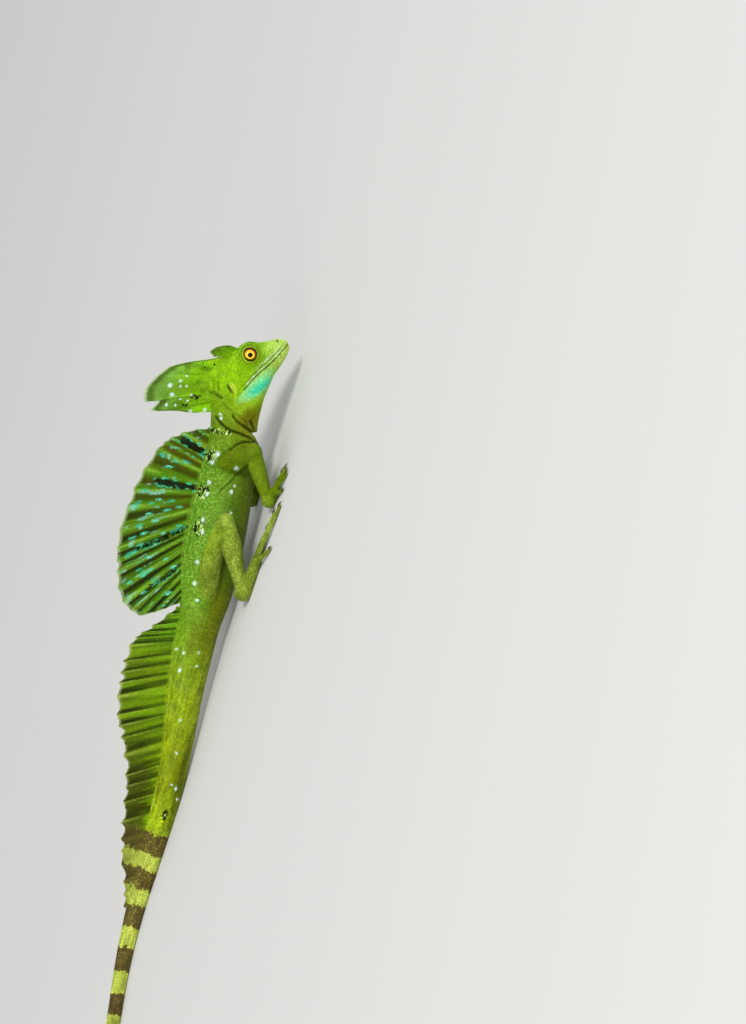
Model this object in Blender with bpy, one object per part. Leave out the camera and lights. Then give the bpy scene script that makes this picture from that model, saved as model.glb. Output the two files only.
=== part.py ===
"""A male green basilisk at life size, on a floor, with its back sail and tail sail raised."""

import math

import bmesh
import bpy
import numpy as np

# Lengths below are in millimetres: X runs to the snout, Y to the animal's left, Z up from the floor.
MM = 0.001
GAP = 0.3
BOX_CENTRE = (-198.5, 3.1)
ROWS = 14

# The head has its own axes: along the snout, across, and up to the crown, from a point between the eyes.
HEAD_AT = (166.5, 40.7)
HEAD_PITCH = math.radians(-42.0)
EYE_CENTRE = (-1.6, 6.7, 1.4)
EYE_RADIUS = 5.9
LID_DOME_CENTRE = (0.2, 5.1, 1.2)
LID_DOME_RADII = (9.4, 5.6, 7.8)
LID_RIM_OUT = 3.5
LID_RIM_RADII = (5.3, 5.0)
LID_RIM_BEAD = 0.8
NOSTRIL_AT = (21.5, 3.6, -1.8)
NOSTRIL_RADII = (0.9, 1.1, 0.8)
EAR_AT = (-25.0, 13.2, -11.8)
EAR_TILT = 0.2
EAR_RIM_RADII = (2.3, 3.7)
EAR_RIM_BEAD = 0.7
EAR_CUP_RADII = (1.9, 1.9, 3.3)

# Five lines drawn along the head from the snout's tip to its back: (along, across, up).
CROWN_LINE = (
    (27.2, 0, -4.6), (22.6, 0, -0.8), (14.5, 0, 1.7), (8, 0, 4.4), (1, 0, 6.9),
    (-7, 0, 7.2), (-16, 0, 7.2), (-25, 0, 6.5), (-33, 0, 3.0),
)
BROW_LINE = (
    (26.9, 2.0, -5.4), (22, 3.8, -2.2), (14, 5.6, 1.4), (7.5, 7.4, 4.4), (1, 8.6, 6.4),
    (-7, 9.2, 6.6), (-15, 9.4, 5.0), (-24, 8.8, 2.6), (-32, 7.6, -1.0),
)
MOUTH_LINE = (
    (27.6, 1.6, -7.6), (21.8, 4.8, -9.2), (14, 7.5, -11.0), (7, 9.5, -12.3), (0, 11.2, -13.0),
    (-7, 12.9, -14.0), (-14, 14.2, -15.8), (-22, 14.4, -18.0), (-30, 12.4, -20.5),
)
JAW_LINE = (
    (26.6, 1.6, -10.8), (21, 3.8, -13.6), (13.2, 5.8, -16.4), (6.4, 7.6, -18.4), (-1, 9.4, -20.8),
    (-8, 10.8, -23.2), (-14, 11.6, -25.8), (-20, 11.2, -29.0), (-27, 9.4, -32.0),
)
THROAT_LINE = (
    (26.2, 0, -11.6), (20.6, 0, -15.6), (13.4, 0, -18.9), (6.4, 0, -21.9), (-0.6, 0, -26.8),
    (-8, 0, -32.0), (-13.5, 0, -37.0), (-18.8, 0, -42.2), (-23.3, 0, -47.5),
)

# Body sections, each from a point on the back to a point under it: (back x, back z, belly x, belly z,
# half width, height of the widest place as a share of the depth, roundness above it, roundness below it).
NECK_STATIONS = (
    (133.0, 62.0, 114.2, 20.6, 11.2, 0.50, 1.9, 1.9),
    (124.0, 58.5, 112.0, 24.0, 10.6, 0.50, 1.9, 2.0),
    (115.0, 55.8, 106.5, 17.6, 11.6, 0.48, 1.8, 2.1),
    (106.0, 53.8, 101.0, 16.2, 13.6, 0.46, 1.75, 2.2),
)
TORSO_STATIONS = (
    (96.0, 52.8, 94.0, 15.0, 15.6, 0.45, 1.7, 2.2),
    (82.0, 51.8, 81.0, 13.2, 17.0, 0.44, 1.7, 2.2),
    (66.0, 51.0, 66.0, 11.0, 17.8, 0.42, 1.7, 2.2),
    (46.0, 50.0, 46.0, 8.6, 18.0, 0.42, 1.7, 2.2),
    (26.0, 48.4, 26.0, 6.8, 17.4, 0.42, 1.7, 2.2),
    (6.0, 45.4, 6.0, 5.6, 16.2, 0.43, 1.7, 2.2),
    (-12.0, 41.6, -12.0, 5.8, 14.6, 0.45, 1.75, 2.2),
    (-30.0, 38.0, -30.0, 7.4, 12.4, 0.47, 1.8, 2.1),
)
TAIL_STATIONS = (
    (-52.0, 35.0, -52.0, 6.9, 10.4, 0.47, 1.8, 2.1),
    (-78.0, 31.0, -78.0, 5.8, 9.0, 0.46, 1.85, 2.1),
    (-105.0, 25.8, -105.0, 3.4, 7.8, 0.46, 1.9, 2.1),
    (-135.0, 21.0, -135.0, 0.9, 6.8, 0.46, 1.95, 2.2),
    (-165.0, 18.2, -165.0, -0.9, 6.1, 0.45, 2.0, 2.2),
    (-205.0, 15.8, -205.0, -0.9, 5.4, 0.45, 2.0, 2.2),
    (-250.0, 12.6, -250.0, -0.8, 4.6, 0.45, 2.0, 2.2),
    (-300.0, 10.2, -300.0, -0.7, 4.0, 0.45, 2.0, 2.2),
    (-360.0, 8.8, -360.0, -0.6, 3.5, 0.45, 2.0, 2.2),
    (-430.0, 7.0, -430.0, -0.5, 2.8, 0.45, 2.0, 2.2),
    (-500.0, 5.0, -500.0, -0.4, 2.1, 0.45, 2.0, 2.2),
    (-570.0, 2.9, -570.0, -0.3, 1.4, 0.45, 2.0, 2.2),
    (-614.0, 1.3, -614.0, -0.2, 0.7, 0.45, 2.0, 2.2),
)
TAIL_CUTS = {"tail_base": (0, 3), "tail_middle": (3, 7), "tail_rear": (7, 10), "tail_tip": (10, 13)}

# The line that the tail takes over the floor, seen from above.
TAIL_START = -30.0
TAIL_PLAN = (
    (-30, 0), (-90, 0), (-150, 2), (-200, 11), (-242, 18), (-280, 13), (-318, -7),
    (-360, -35), (-410, -58), (-465, -64), (-520, -49), (-565, -22),
)

# Sails: the outline's points (x, z) from front to back, where the rays have their roots along the ridge,
# or at which points on the head, and how many rays there are. There is a root place for each point of the
# outline, or for the two ends of an even row. On the tail a ray's tip lies behind its root.
COLUMNS_PER_RAY = 3
BACK_SAIL = {
    "outline": (
        (108, 55.5), (101, 70.5), (92, 81.5), (79, 89), (54, 95.8), (23, 97.8), (4, 95.6), (-13, 90.4),
        (-27.5, 83.5), (-36.5, 68), (-31, 55), (-21, 42),
    ),
    "root": (107.0, -17.0), "rays": 20, "rows": 5, "root_half": 1.1, "edge_half": 0.3, "ray_half": 0.55,
    "scallop": 1.6, "lean": 1.6,
}
TAIL_SAIL = {
    "outline": (
        (-23, 42.5), (-41, 56), (-54, 66), (-72, 69), (-92, 67), (-112, 62), (-132, 52), (-155, 42.5),
        (-180, 37.5), (-205, 30), (-225, 22), (-246, 14.6),
    ),
    "root": (-22, -28, -36, -48, -68, -88, -110, -137, -165, -192, -216, -240), "rays": 24, "rows": 4,
    "root_half": 0.9, "edge_half": 0.28, "ray_half": 0.45, "scallop": 3.2, "lean": 1.2,
}
HEAD_CREST = {
    "outline": (
        (161, 55), (156.5, 66.5), (150, 81), (143, 94), (132, 103.2), (121, 108), (112.6, 106.2),
        (116.2, 97), (107.9, 99), (112, 84), (114.2, 71), (118.5, 59.5),
    ),
    "root": ((157, 53.5), (146, 59.5), (133, 58), (122, 54)), "rays": 12, "rows": 5, "root_half": 4.2,
    "edge_half": 0.35, "ray_half": 0.25, "scallop": 0.5, "lean": 1.0,
}
FRONT_CREST = {
    "outline": (
        (168.6, 52), (168.8, 57), (167.6, 61.5), (165.2, 66), (161, 70.2), (158.9, 68.4), (157.4, 66.4),
    ),
    "root": ((166.5, 48.5), (164.6, 50.2), (162.6, 52)), "rays": 5, "rows": 3, "root_half": 1.5,
    "edge_half": 0.3, "ray_half": 0.2, "scallop": 0.3, "lean": 0.3,
}

# Legs: joint centres and the way that the foot points, in degrees, on the right side, where Y is negative,
# and on the left. Sizes are (half width, half height) along each length of limb.
FORE = {
    "right": {"shoulder": (86, -9, 36), "elbow": (99, -33, 26), "wrist": (69, -33, 5.6), "heading": -20},
    "left": {"shoulder": (86, 9, 36), "elbow": (95, 34, 26), "wrist": (66, 34, 5.6), "heading": 20},
}
HIND = {
    "right": {"hip": (-12, -8, 22.5), "knee": (46.5, -29, 30), "ankle": (1, -38, 6.2), "heading": -8},
    "left": {"hip": (-12, 8, 22.5), "knee": (43, 31, 29), "ankle": (-6, 41, 6.2), "heading": 13},
}
THIGH_ARCH = (3.4, 2.6)
UPPER_ARM_SIZES = ((9.5, 11.0), (8.8, 9.8), (6.8, 7.2))
FOREARM_SIZES = ((6.0, 6.4), (5.4, 5.8), (3.6, 3.5))
THIGH_SIZES = ((7.8, 8.4), (8.4, 7.8), (6.6, 6.4), (5.6, 5.6))
SHIN_SIZES = ((5.8, 5.8), (7.2, 7.4), (5.2, 5.4), (4.2, 4.3))

# Hands and feet: the palm's length, (half width, half height) and heel, then the digits' lengths, the angles
# that they spread by, their radius and the step between their roots.
FINGERS = {
    "palm": 9.5, "palm_size": (5.6, 3.0), "heel": 1.0,
    "lengths": (10, 15, 19, 20, 14), "fan": (48, 24, 4, -16, -44), "radius": 1.75, "step": 1.76,
}
TOES = {
    "palm": 25.0, "palm_size": (7.0, 3.4), "heel": 1.5,
    "lengths": (16, 26, 38, 47, 27), "fan": (26, 12, 1, -11, -48), "radius": 2.0, "step": 1.87,
}
CLAW_LENGTH = 4.0
FLOOR_SINK = 0.4

# A digit and its claw along their length: (share of the length, height in half radii, share of the radius).
TOE_ARCH = ((-0.12, 3.0, 1.0), (0.2, 3.6, 1.0), (0.48, 3.0, 0.86), (0.74, 1.7, 0.78), (1.0, 1.0, 0.66))
CLAW_CURL = ((-0.2, 0.5, 0.8), (0.35, 1.0, 0.62), (0.75, 0.65, 0.36), (1.0, -0.1, 0.1))


def through(knots, at):
    """A smooth curve through the knots, read at knot number `at`."""
    points = np.array(knots, float)
    last = len(points) - 1
    i = int(min(max(math.floor(at), 0), last - 1))
    t = at - i
    p1, p2 = points[i], points[i + 1]
    p0 = points[i - 1] if i > 0 else 2 * p1 - p2
    p3 = points[i + 2] if i + 2 <= last else 2 * p2 - p1
    return 0.5 * (2 * p1 + (p2 - p0) * t + (2 * p0 - 5 * p1 + 4 * p2 - p3) * t**2
                  + (3 * p1 - p0 - 3 * p2 + p3) * t**3)


def head_to_body(points):
    """Turns points of the head's own axes into the animal's."""
    along, across, up = np.moveaxis(np.atleast_2d(np.array(points, float)), -1, 0)
    c, s = math.cos(HEAD_PITCH), math.sin(HEAD_PITCH)
    return np.stack([HEAD_AT[0] + along * c - up * s, across, HEAD_AT[1] + along * s + up * c], -1)


def head_half(at):
    """One side of the head's section at a place along its five lines, crown to throat, in the head's axes."""
    crown, brow, mouth, jaw, throat = (
        through(line, at) for line in (CROWN_LINE, BROW_LINE, MOUTH_LINE, JAW_LINE, THROAT_LINE)
    )
    size = min(1.0, 0.35 + 0.3 * at)
    out, up = np.array((0, 1, 0)), np.array((0, 0, 1))
    cheek = brow + (mouth - brow) * 0.5 + out * 1.5 * size
    chin = jaw + (throat - jaw) * 0.5 + out * jaw[1] * 0.16
    return np.array([
        crown,
        crown + (brow - crown) * 0.4 + up * 0.1,
        crown + (brow - crown) * 0.75 + up * 0.3 * size,
        brow,
        brow + (cheek - brow) * 0.5 + out * 0.5 * size,
        cheek,
        cheek + (mouth - cheek) * 0.45 + out * 0.6 * size,
        mouth + up * 2.4 * size + out * 0.1,
        mouth + up * 0.6 * size + out * 0.3 * size,
        mouth - out * 0.9 * size,
        mouth - up * 0.6 * size + out * 0.1 * size,
        mouth + (jaw - mouth) * 0.5 + out * 0.5 * size,
        jaw,
        chin,
        throat,
    ])


def whole_ring(half):
    """Both sides of a section from one of them."""
    other = half[-2:0:-1] * np.array((1, -1, 1))
    return np.concatenate([half, other])


def head_rings(steps):
    """Rings from the snout's tip to the back of the head."""
    places = np.linspace(0, len(CROWN_LINE) - 1, steps)
    return [head_to_body(whole_ring(head_half(at))) for at in places]


def ellipse_half(waist, above, below, rows=ROWS):
    """One side of a rounded section as (share of the way down, share of the half width)."""
    turn = np.pi * np.arange(rows + 1) / rows
    c, s = np.cos(turn), np.abs(np.sin(turn))
    power = np.where(c >= 0, above, below)
    height = np.abs(c) ** (2 / power)
    down = np.where(c >= 0, (1 - waist) * (1 - height), (1 - waist) + waist * height)
    return np.stack([down, s ** (2 / power)], 1)


def head_back_half():
    """The section at the back of the head, in the same terms as ellipse_half."""
    half = head_half(len(CROWN_LINE) - 1)
    top, bottom = half[0], half[-1]
    line = bottom - top
    down = ((half - top) @ line) / (line @ line)
    return np.stack([down, half[:, 1] / half[:, 1].max()], 1)


def body_ring(station, mix=1.0, rows=ROWS):
    """The ring of one body station; mix 0 has the head's section and 1 the plain rounded one."""
    back_x, back_z, belly_x, belly_z, width, waist, above, below = station
    half = ellipse_half(waist, above, below, rows)
    if mix < 1:
        half = head_back_half() * (1 - mix) + half * mix
    points = np.array([
        (back_x + (belly_x - back_x) * down, width * across, back_z + (belly_z - back_z) * down)
        for down, across in half
    ])
    return whole_ring(points)


def plan_table():
    """The tail's line over the floor as (distance, x, y, heading) at short steps."""
    knots = len(TAIL_PLAN) - 1
    line = np.array([through(TAIL_PLAN, at) for at in np.linspace(0, knots, 40 * knots)])
    step = np.diff(line, axis=0)
    distance = np.concatenate([[0], np.cumsum(np.hypot(*step.T))])
    heading = np.unwrap(np.arctan2(-np.gradient(line[:, 1]), -np.gradient(line[:, 0])))
    return distance, line[:, 0], line[:, 1], heading


PLAN = plan_table()


def bend_tail(points):
    """Lays points of a straight tail along the tail's line. What is ahead of its start stays."""
    points = np.array(points, float)
    behind = TAIL_START - points[..., 0]
    distance, x, y, heading = PLAN
    inside = np.clip(behind, 0, distance[-1])
    turn = np.interp(inside, distance, heading)
    past = behind - inside
    bent = points.copy()
    bent[..., 0] = np.interp(inside, distance, x) - past * np.cos(turn) - points[..., 1] * np.sin(turn)
    bent[..., 1] = np.interp(inside, distance, y) - past * np.sin(turn) + points[..., 1] * np.cos(turn)
    return bent


def ring_normal(ring):
    """The direction square to a ring's plane, towards the tail."""
    top, bottom = ring[0], ring[len(ring) // 2]
    across = ring[len(ring) // 4] - ring[-(len(ring) // 4)]
    normal = np.cross(top - bottom, across)
    return normal / np.linalg.norm(normal)


def trimmed(rings, front, back):
    """Rings with the first and last moved inwards by half the gap, where the piece meets a neighbour."""
    rings = [np.array(r) for r in rings]
    for place, wanted, way in ((0, front, 1), (-1, back, -1)):
        if wanted:
            rings[place] = rings[place] + ring_normal(rings[place]) * way * GAP / 2
    return rings


def to_floor(points):
    """Flattens what would reach under the floor."""
    points = np.array(points, float)
    points[..., 2] = np.maximum(points[..., 2], 0)
    return points


def place(points):
    """Millimetres of the animal's axes as metres about the middle of its box."""
    return (np.array(points, float) - np.array((*BOX_CENTRE, 0))) * MM


def mesh_object(name, points, faces):
    """An object from points in millimetres and faces, with its normals out and its faces triangles."""
    mesh = bpy.data.meshes.new(name)
    built = bmesh.new()
    corners = [built.verts.new(p) for p in place(points)]
    for face in faces:
        built.faces.new([corners[i] for i in face])
    bmesh.ops.remove_doubles(built, verts=built.verts, dist=1e-6)
    bmesh.ops.triangulate(built, faces=built.faces, quad_method="FIXED")
    bmesh.ops.recalc_face_normals(built, faces=built.faces)
    built.to_mesh(mesh)
    built.free()
    made = bpy.data.objects.new(name, mesh)
    bpy.context.scene.collection.objects.link(made)
    return made


def loft(name, rings):
    """A closed body through rings of equal length."""
    count = len(rings[0])
    points = np.concatenate(rings)
    faces = [
        (i * count + j, i * count + (j + 1) % count, (i + 1) * count + (j + 1) % count, (i + 1) * count + j)
        for i in range(len(rings) - 1) for j in range(count)
    ]
    faces.append(list(range(count))[::-1])
    faces.append([len(points) - count + j for j in range(count)])
    return mesh_object(name, to_floor(points), faces)


# Rings of a tube's round end: (share of the radius beyond the end, share of the width).
DOME = ((0.97, 0.24), (0.7, 0.71))


def tube(name, centres, sizes, sides=12, rounded=True):
    """An oval tube along a path; sizes are (half width, half height), and rounded ends are domes."""
    centres, sizes = np.array(centres, float), np.array(sizes, float)
    ways = np.gradient(centres, axis=0)
    ways /= np.linalg.norm(ways, axis=1)[:, None]
    path = list(zip(centres, sizes, ways))
    if rounded:
        for end, outward in ((0, -ways[0]), (-1, ways[-1])):
            reach = outward * sizes[end].min()
            dome = [(centres[end] + reach * up, sizes[end] * wide, ways[end]) for up, wide in DOME]
            path = dome + path if end == 0 else path + dome[::-1]
    turn = np.pi / sides - np.pi / 2 + 2 * np.pi * np.arange(sides) / sides
    rings = []
    for centre, size, way in path:
        side = np.cross((0, 0, 1), way)
        side /= np.linalg.norm(side)
        up = np.cross(way, side)
        rings.append(centre + np.outer(np.cos(turn) * size[0], side) + np.outer(np.sin(turn) * size[1], up))
    return loft(name, rings)


def ball(name, centre, radii, turn=0.0, segments=16, rings=10):
    """An ellipsoid at a point of the animal's axes, pitched by turn about Y, with its poles to the sides."""
    mesh = bpy.data.meshes.new(name)
    built = bmesh.new()
    bmesh.ops.create_uvsphere(built, u_segments=segments, v_segments=rings, radius=1)
    c, s = math.cos(turn), math.sin(turn)
    for vert in built.verts:
        along, up, across = vert.co.x * radii[0], vert.co.y * radii[2], vert.co.z * radii[1]
        vert.co = place((centre[0] + along * c - up * s, centre[1] + across, centre[2] + along * s + up * c))
    bmesh.ops.triangulate(built, faces=built.faces)
    bmesh.ops.recalc_face_normals(built, faces=built.faces)
    built.to_mesh(mesh)
    built.free()
    made = bpy.data.objects.new(name, mesh)
    bpy.context.scene.collection.objects.link(made)
    return made


def ring_bead(name, centre, across, radii, bead, turn, segments=20, sides=6):
    """A bead in a ring about a sideways axis, such as an eyelid's rim."""
    points, faces = [], []
    c, s = math.cos(turn), math.sin(turn)
    for i in range(segments):
        a = 2 * math.pi * i / segments
        for j in range(sides):
            b = 2 * math.pi * j / sides
            along = (radii[0] + bead * math.cos(b)) * math.cos(a)
            up = (radii[1] + bead * math.cos(b)) * math.sin(a)
            points.append((centre[0] + along * c - up * s, centre[1] + across + bead * math.sin(b),
                           centre[2] + along * s + up * c))
            faces.append((i * sides + j, i * sides + (j + 1) % sides,
                          (i + 1) % segments * sides + (j + 1) % sides, (i + 1) % segments * sides + j))
    return mesh_object(name, points, faces)


def evaluated_mesh(obj):
    bpy.context.view_layer.update()
    return bpy.data.meshes.new_from_object(obj.evaluated_get(bpy.context.evaluated_depsgraph_get()))


def keep_largest(obj):
    """Drops every closed surface but the largest."""
    built = bmesh.new()
    built.from_mesh(obj.data)
    seen, groups = set(), []
    for first in built.verts:
        if first in seen:
            continue
        group, todo = [], [first]
        seen.add(first)
        while todo:
            vert = todo.pop()
            group.append(vert)
            for edge in vert.link_edges:
                other = edge.other_vert(vert)
                if other not in seen:
                    seen.add(other)
                    todo.append(other)
        groups.append(group)
    groups.sort(key=len)
    bmesh.ops.delete(built, geom=[v for group in groups[:-1] for v in group], context="VERTS")
    built.to_mesh(obj.data)
    built.free()


def boolean(obj, others, operation):
    """Joins others to obj, or cuts them from it, by one Boolean on a collection of them."""
    tools = bpy.data.collections.new("tools")
    for other in others:
        tools.objects.link(other)
    modifier = obj.modifiers.new("join", "BOOLEAN")
    modifier.operation = operation
    modifier.operand_type = "COLLECTION"
    modifier.collection = tools
    modifier.solver = "EXACT"
    made = evaluated_mesh(obj)
    obj.modifiers.remove(modifier)
    obj.data = made
    for other in others:
        bpy.data.objects.remove(other)
    bpy.data.collections.remove(tools)
    keep_largest(obj)
    return obj


def swollen(obj, by=GAP):
    """A copy of obj with its surface moved out by the gap."""
    copy = bpy.data.objects.new(obj.name + "_swollen", obj.data.copy())
    bpy.context.scene.collection.objects.link(copy)
    built = bmesh.new()
    built.from_mesh(copy.data)
    bmesh.ops.recalc_face_normals(built, faces=built.faces)
    built.normal_update()
    moves = [(vert, vert.normal.copy()) for vert in built.verts]
    for vert, normal in moves:
        vert.co += normal * by * MM
    built.to_mesh(copy.data)
    built.free()
    return copy


def cut_clear(obj, *neighbours):
    """Cuts obj back to the gap from its neighbours."""
    return boolean(obj, [swollen(n) for n in neighbours], "DIFFERENCE")


def on_head(place_there, side):
    """A point given on the head's left, or its mirror image where side is -1, in the animal's axes."""
    return head_to_body(np.array(place_there) * (1, side, 1))[0]


def make_head():
    """The head with its lids and ears, and with its sockets, nostrils and ear cups cut in."""
    head = loft("head", trimmed(head_rings(22), False, True))
    raised, hollows = [], []
    for side in (1, -1):
        eye, ear = on_head(EYE_CENTRE, side), on_head(EAR_AT, side)
        raised.append(ball("lid_dome", on_head(LID_DOME_CENTRE, side), LID_DOME_RADII, HEAD_PITCH, 18, 12))
        raised.append(ring_bead("lid_rim", eye, side * LID_RIM_OUT, LID_RIM_RADII, LID_RIM_BEAD, HEAD_PITCH))
        raised.append(ring_bead("ear_rim", ear, 0, EAR_RIM_RADII, EAR_RIM_BEAD, HEAD_PITCH + EAR_TILT, 14, 5))
        hollows.append(ball("socket", eye, (EYE_RADIUS + GAP,) * 3, HEAD_PITCH, 18, 12))
        hollows.append(ball("nostril", on_head(NOSTRIL_AT, side), NOSTRIL_RADII, HEAD_PITCH, 8, 6))
        hollows.append(ball("ear_cup", ear, EAR_CUP_RADII, HEAD_PITCH + EAR_TILT, 10, 8))
    boolean(head, raised, "UNION")
    return boolean(head, hollows, "DIFFERENCE")


def make_eyes():
    for side, name in ((1, "eye_left"), (-1, "eye_right")):
        ball(name, on_head(EYE_CENTRE, side), (EYE_RADIUS,) * 3, HEAD_PITCH, 18, 12)


def body_rings(stations, steps, rows=ROWS):
    """Rings at even steps through body stations."""
    return [body_ring(through(stations, at), 1.0, rows) for at in np.linspace(0, len(stations) - 1, steps)]


def make_neck(head_back):
    top, bottom = head_back[0], head_back[ROWS]
    first = (top[0], top[2], bottom[0], bottom[2], head_back[:, 1].max(), 0.5, 1.9, 1.9)
    stations = (first, *NECK_STATIONS, TORSO_STATIONS[0])
    steps = 2 * (len(stations) - 1) + 1
    rings = [head_back]
    for at in np.linspace(0, len(stations) - 1, steps)[1:]:
        rings.append(body_ring(through(stations, at), min(1.0, at / 2.5)))
    return loft("neck", trimmed(rings, True, True))


def make_torso():
    return loft("torso", trimmed(body_rings(TORSO_STATIONS, 15), True, True))


def make_tail():
    stations = (TORSO_STATIONS[-1], *TAIL_STATIONS)
    tails = {}
    for name, (first, last) in TAIL_CUTS.items():
        steps = (last - first) * 3 + 1
        rings = [
            bend_tail(body_ring(through(stations, at), 1.0, ROWS // 2))
            for at in np.linspace(first, last, steps)
        ]
        tails[name] = loft(name, trimmed(rings, True, name != "tail_tip"))
    return tails


def ridge(x):
    """The height of the back or of the tail's top at a place along the straight body."""
    stations = (*NECK_STATIONS, *TORSO_STATIONS, *TAIL_STATIONS)
    places = np.linspace(0, len(stations) - 1, 20 * len(stations))
    tops = np.array([through(stations, at)[:2] for at in places])
    return np.interp(x, tops[::-1, 0], tops[::-1, 1])


def sail_grid(sail, root_line):
    """The sail's middle surface and half thickness: columns along the root, rows from root to edge."""
    columns = (sail["rays"] - 1) * COLUMNS_PER_RAY + 1
    middle, half = [], []
    for i in range(columns):
        share = i / (columns - 1)
        on_ray = i % COLUMNS_PER_RAY == 0
        root = root_line(share)
        edge = through(sail["outline"], share * (len(sail["outline"]) - 1))
        length = np.linalg.norm(edge - root)
        if not on_ray:
            edge = edge + (root - edge) / length * min(sail["scallop"], length * 0.3)
        column, thick = [], []
        for j in range(sail["rows"] + 1):
            out = j / sail["rows"]
            x, z = root + (edge - root) * out
            lean = sail["lean"] * out * math.sin(share * 9.0) + 0.25 * out * (i % 2)
            column.append((x, lean, z))
            base = sail["root_half"] + (sail["edge_half"] - sail["root_half"]) * out**0.6
            thick.append(base + (sail["ray_half"] * (1 - 0.7 * out) if on_ray else 0))
        middle.append(column)
        half.append(thick)
    return np.array(middle), np.array(half)


def sail_object(name, middle, half, bend=lambda p: p):
    """A closed thin body about a middle surface, with the same triangles on both faces."""
    columns, rows = half.shape
    sides = [bend(middle + np.stack([0 * half, way * half, 0 * half], -1)) for way in (1, -1)]
    points = np.concatenate([side.reshape(-1, 3) for side in sides])
    other = columns * rows
    faces = []
    for i in range(columns - 1):
        for j in range(rows - 1):
            a, b = i * rows + j, i * rows + j + 1
            c, d = (i + 1) * rows + j + 1, (i + 1) * rows + j
            for tri in ((a, b, c), (a, c, d)):
                faces.append(tri)
                faces.append(tuple(k + other for k in reversed(tri)))
    rim = [i * rows for i in range(columns)]
    rim += [(columns - 1) * rows + j for j in range(1, rows)]
    rim += [i * rows + rows - 1 for i in range(columns - 2, -1, -1)]
    rim += [j for j in range(rows - 2, 0, -1)]
    for a, b in zip(rim, rim[1:] + rim[:1]):
        faces.append((a, b, b + other))
        faces.append((a, b + other, a + other))
    return mesh_object(name, points, faces)


def make_ridge_sail(name, sail):
    """A sail whose root follows the ridge of the back or tail."""
    roots = [(x,) for x in sail["root"]]

    def root_line(share):
        x = through(roots, share * (len(roots) - 1))[0]
        return np.array((x, ridge(x) + GAP))

    return sail_object(name, *sail_grid(sail, root_line), bend_tail)


def make_crest(name, crest, *neighbours):
    """A crest of the head, sunk in it and then cut clear of it."""
    roots = crest["root"]

    def root_line(share):
        return through(roots, share * (len(roots) - 1))

    return cut_clear(sail_object(name, *sail_grid(crest, root_line)), *neighbours)


def make_digit(name, root, heading, length, radius):
    """A finger or toe with its claw: low at the root, arched at the first joint and flat under its tip."""
    way = np.array((math.cos(heading), math.sin(heading), 0))
    centres = [root + way * length * s + (0, 0, z * radius / 2) for s, z, _ in TOE_ARCH]
    digit = tube(name, centres, [(radius * r, radius * r * 0.92) for _, _, r in TOE_ARCH], 6)
    claw_line = [centres[-1] + way * CLAW_LENGTH * s + (0, 0, z * 0.8) for s, z, _ in CLAW_CURL]
    claw_sizes = [(radius * r * 0.7, radius * r) for _, _, r in CLAW_CURL]
    claw = tube(name + "_claw", claw_line, claw_sizes, 5, False)
    return [digit, claw]


def make_foot(name, wrist, heading, plan, side):
    """A hand or foot: palm, digits and claws in one piece."""
    turn = math.radians(heading)
    way = np.array((math.cos(turn), math.sin(turn), 0))
    outward = np.array((-way[1], way[0], 0)) * side
    half_width, half_height = plan["palm_size"]
    wrist = np.array(wrist, float)
    front = wrist + way * plan["palm"]
    front[2] = half_height - FLOOR_SINK
    middle = (wrist + front) / 2
    middle[2] = half_height * 1.05
    back = wrist - way * plan["heel"]
    back[2] = wrist[2] * 0.86
    palm = tube(name, [back, middle, front], [
        (half_width * 0.75, wrist[2]), (half_width * 0.9, half_height * 1.25), plan["palm_size"],
    ])
    digits = []
    for i, (length, fan) in enumerate(zip(plan["lengths"], plan["fan"])):
        from_middle = i - 2
        root = front + outward * from_middle * plan["step"] - way * (1.5 + 0.9 * abs(from_middle) ** 1.5)
        root[2] = 0
        digits += make_digit(f"{name}_{i}", root, turn - side * math.radians(fan), length, plan["radius"])
    return boolean(palm, digits, "UNION")


def make_fore(side_name, side, torso, neck):
    """An arm: upper arm, forearm and hand, each cut clear of what it grows from."""
    leg = FORE[side_name]
    shoulder, elbow, wrist = (np.array(leg[k], float) for k in ("shoulder", "elbow", "wrist"))
    upper = tube(f"upper_arm_{side_name}", [shoulder, (shoulder + elbow) / 2, elbow], UPPER_ARM_SIZES)
    cut_clear(upper, torso, neck)
    forearm = tube(f"forearm_{side_name}", [elbow, elbow * 0.6 + wrist * 0.4, wrist], FOREARM_SIZES)
    cut_clear(forearm, upper)
    hand = make_foot(f"hand_{side_name}", wrist, leg["heading"], FINGERS, side)
    cut_clear(hand, forearm)


def make_hind(side_name, side, torso, tail_base):
    """A leg: thigh, shin and foot, each cut clear of what it grows from."""
    leg = HIND[side_name]
    hip, knee, ankle = (np.array(leg[k], float) for k in ("hip", "knee", "ankle"))
    rear, front = hip * 0.6 + knee * 0.4, hip * 0.2 + knee * 0.8
    rear[2] += THIGH_ARCH[0]
    front[2] += THIGH_ARCH[1]
    thigh = tube(f"thigh_{side_name}", [hip, rear, front, knee], THIGH_SIZES)
    cut_clear(thigh, torso, tail_base)
    calf, heel = knee * 0.62 + ankle * 0.38, knee * 0.3 + ankle * 0.7
    shin = tube(f"shin_{side_name}", [knee, calf, heel, ankle], SHIN_SIZES)
    cut_clear(shin, thigh)
    foot = make_foot(f"foot_{side_name}", ankle, leg["heading"], TOES, side)
    cut_clear(foot, shin)


# Looks: (red, green, blue), roughness.
SKIN = ((0.30, 0.48, 0.04), 0.55)
LIMB = ((0.33, 0.42, 0.07), 0.55)
SAIL = ((0.16, 0.38, 0.04), 0.5)
TAIL = ((0.30, 0.45, 0.05), 0.55)
EYE = ((0.85, 0.52, 0.03), 0.1)


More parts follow.
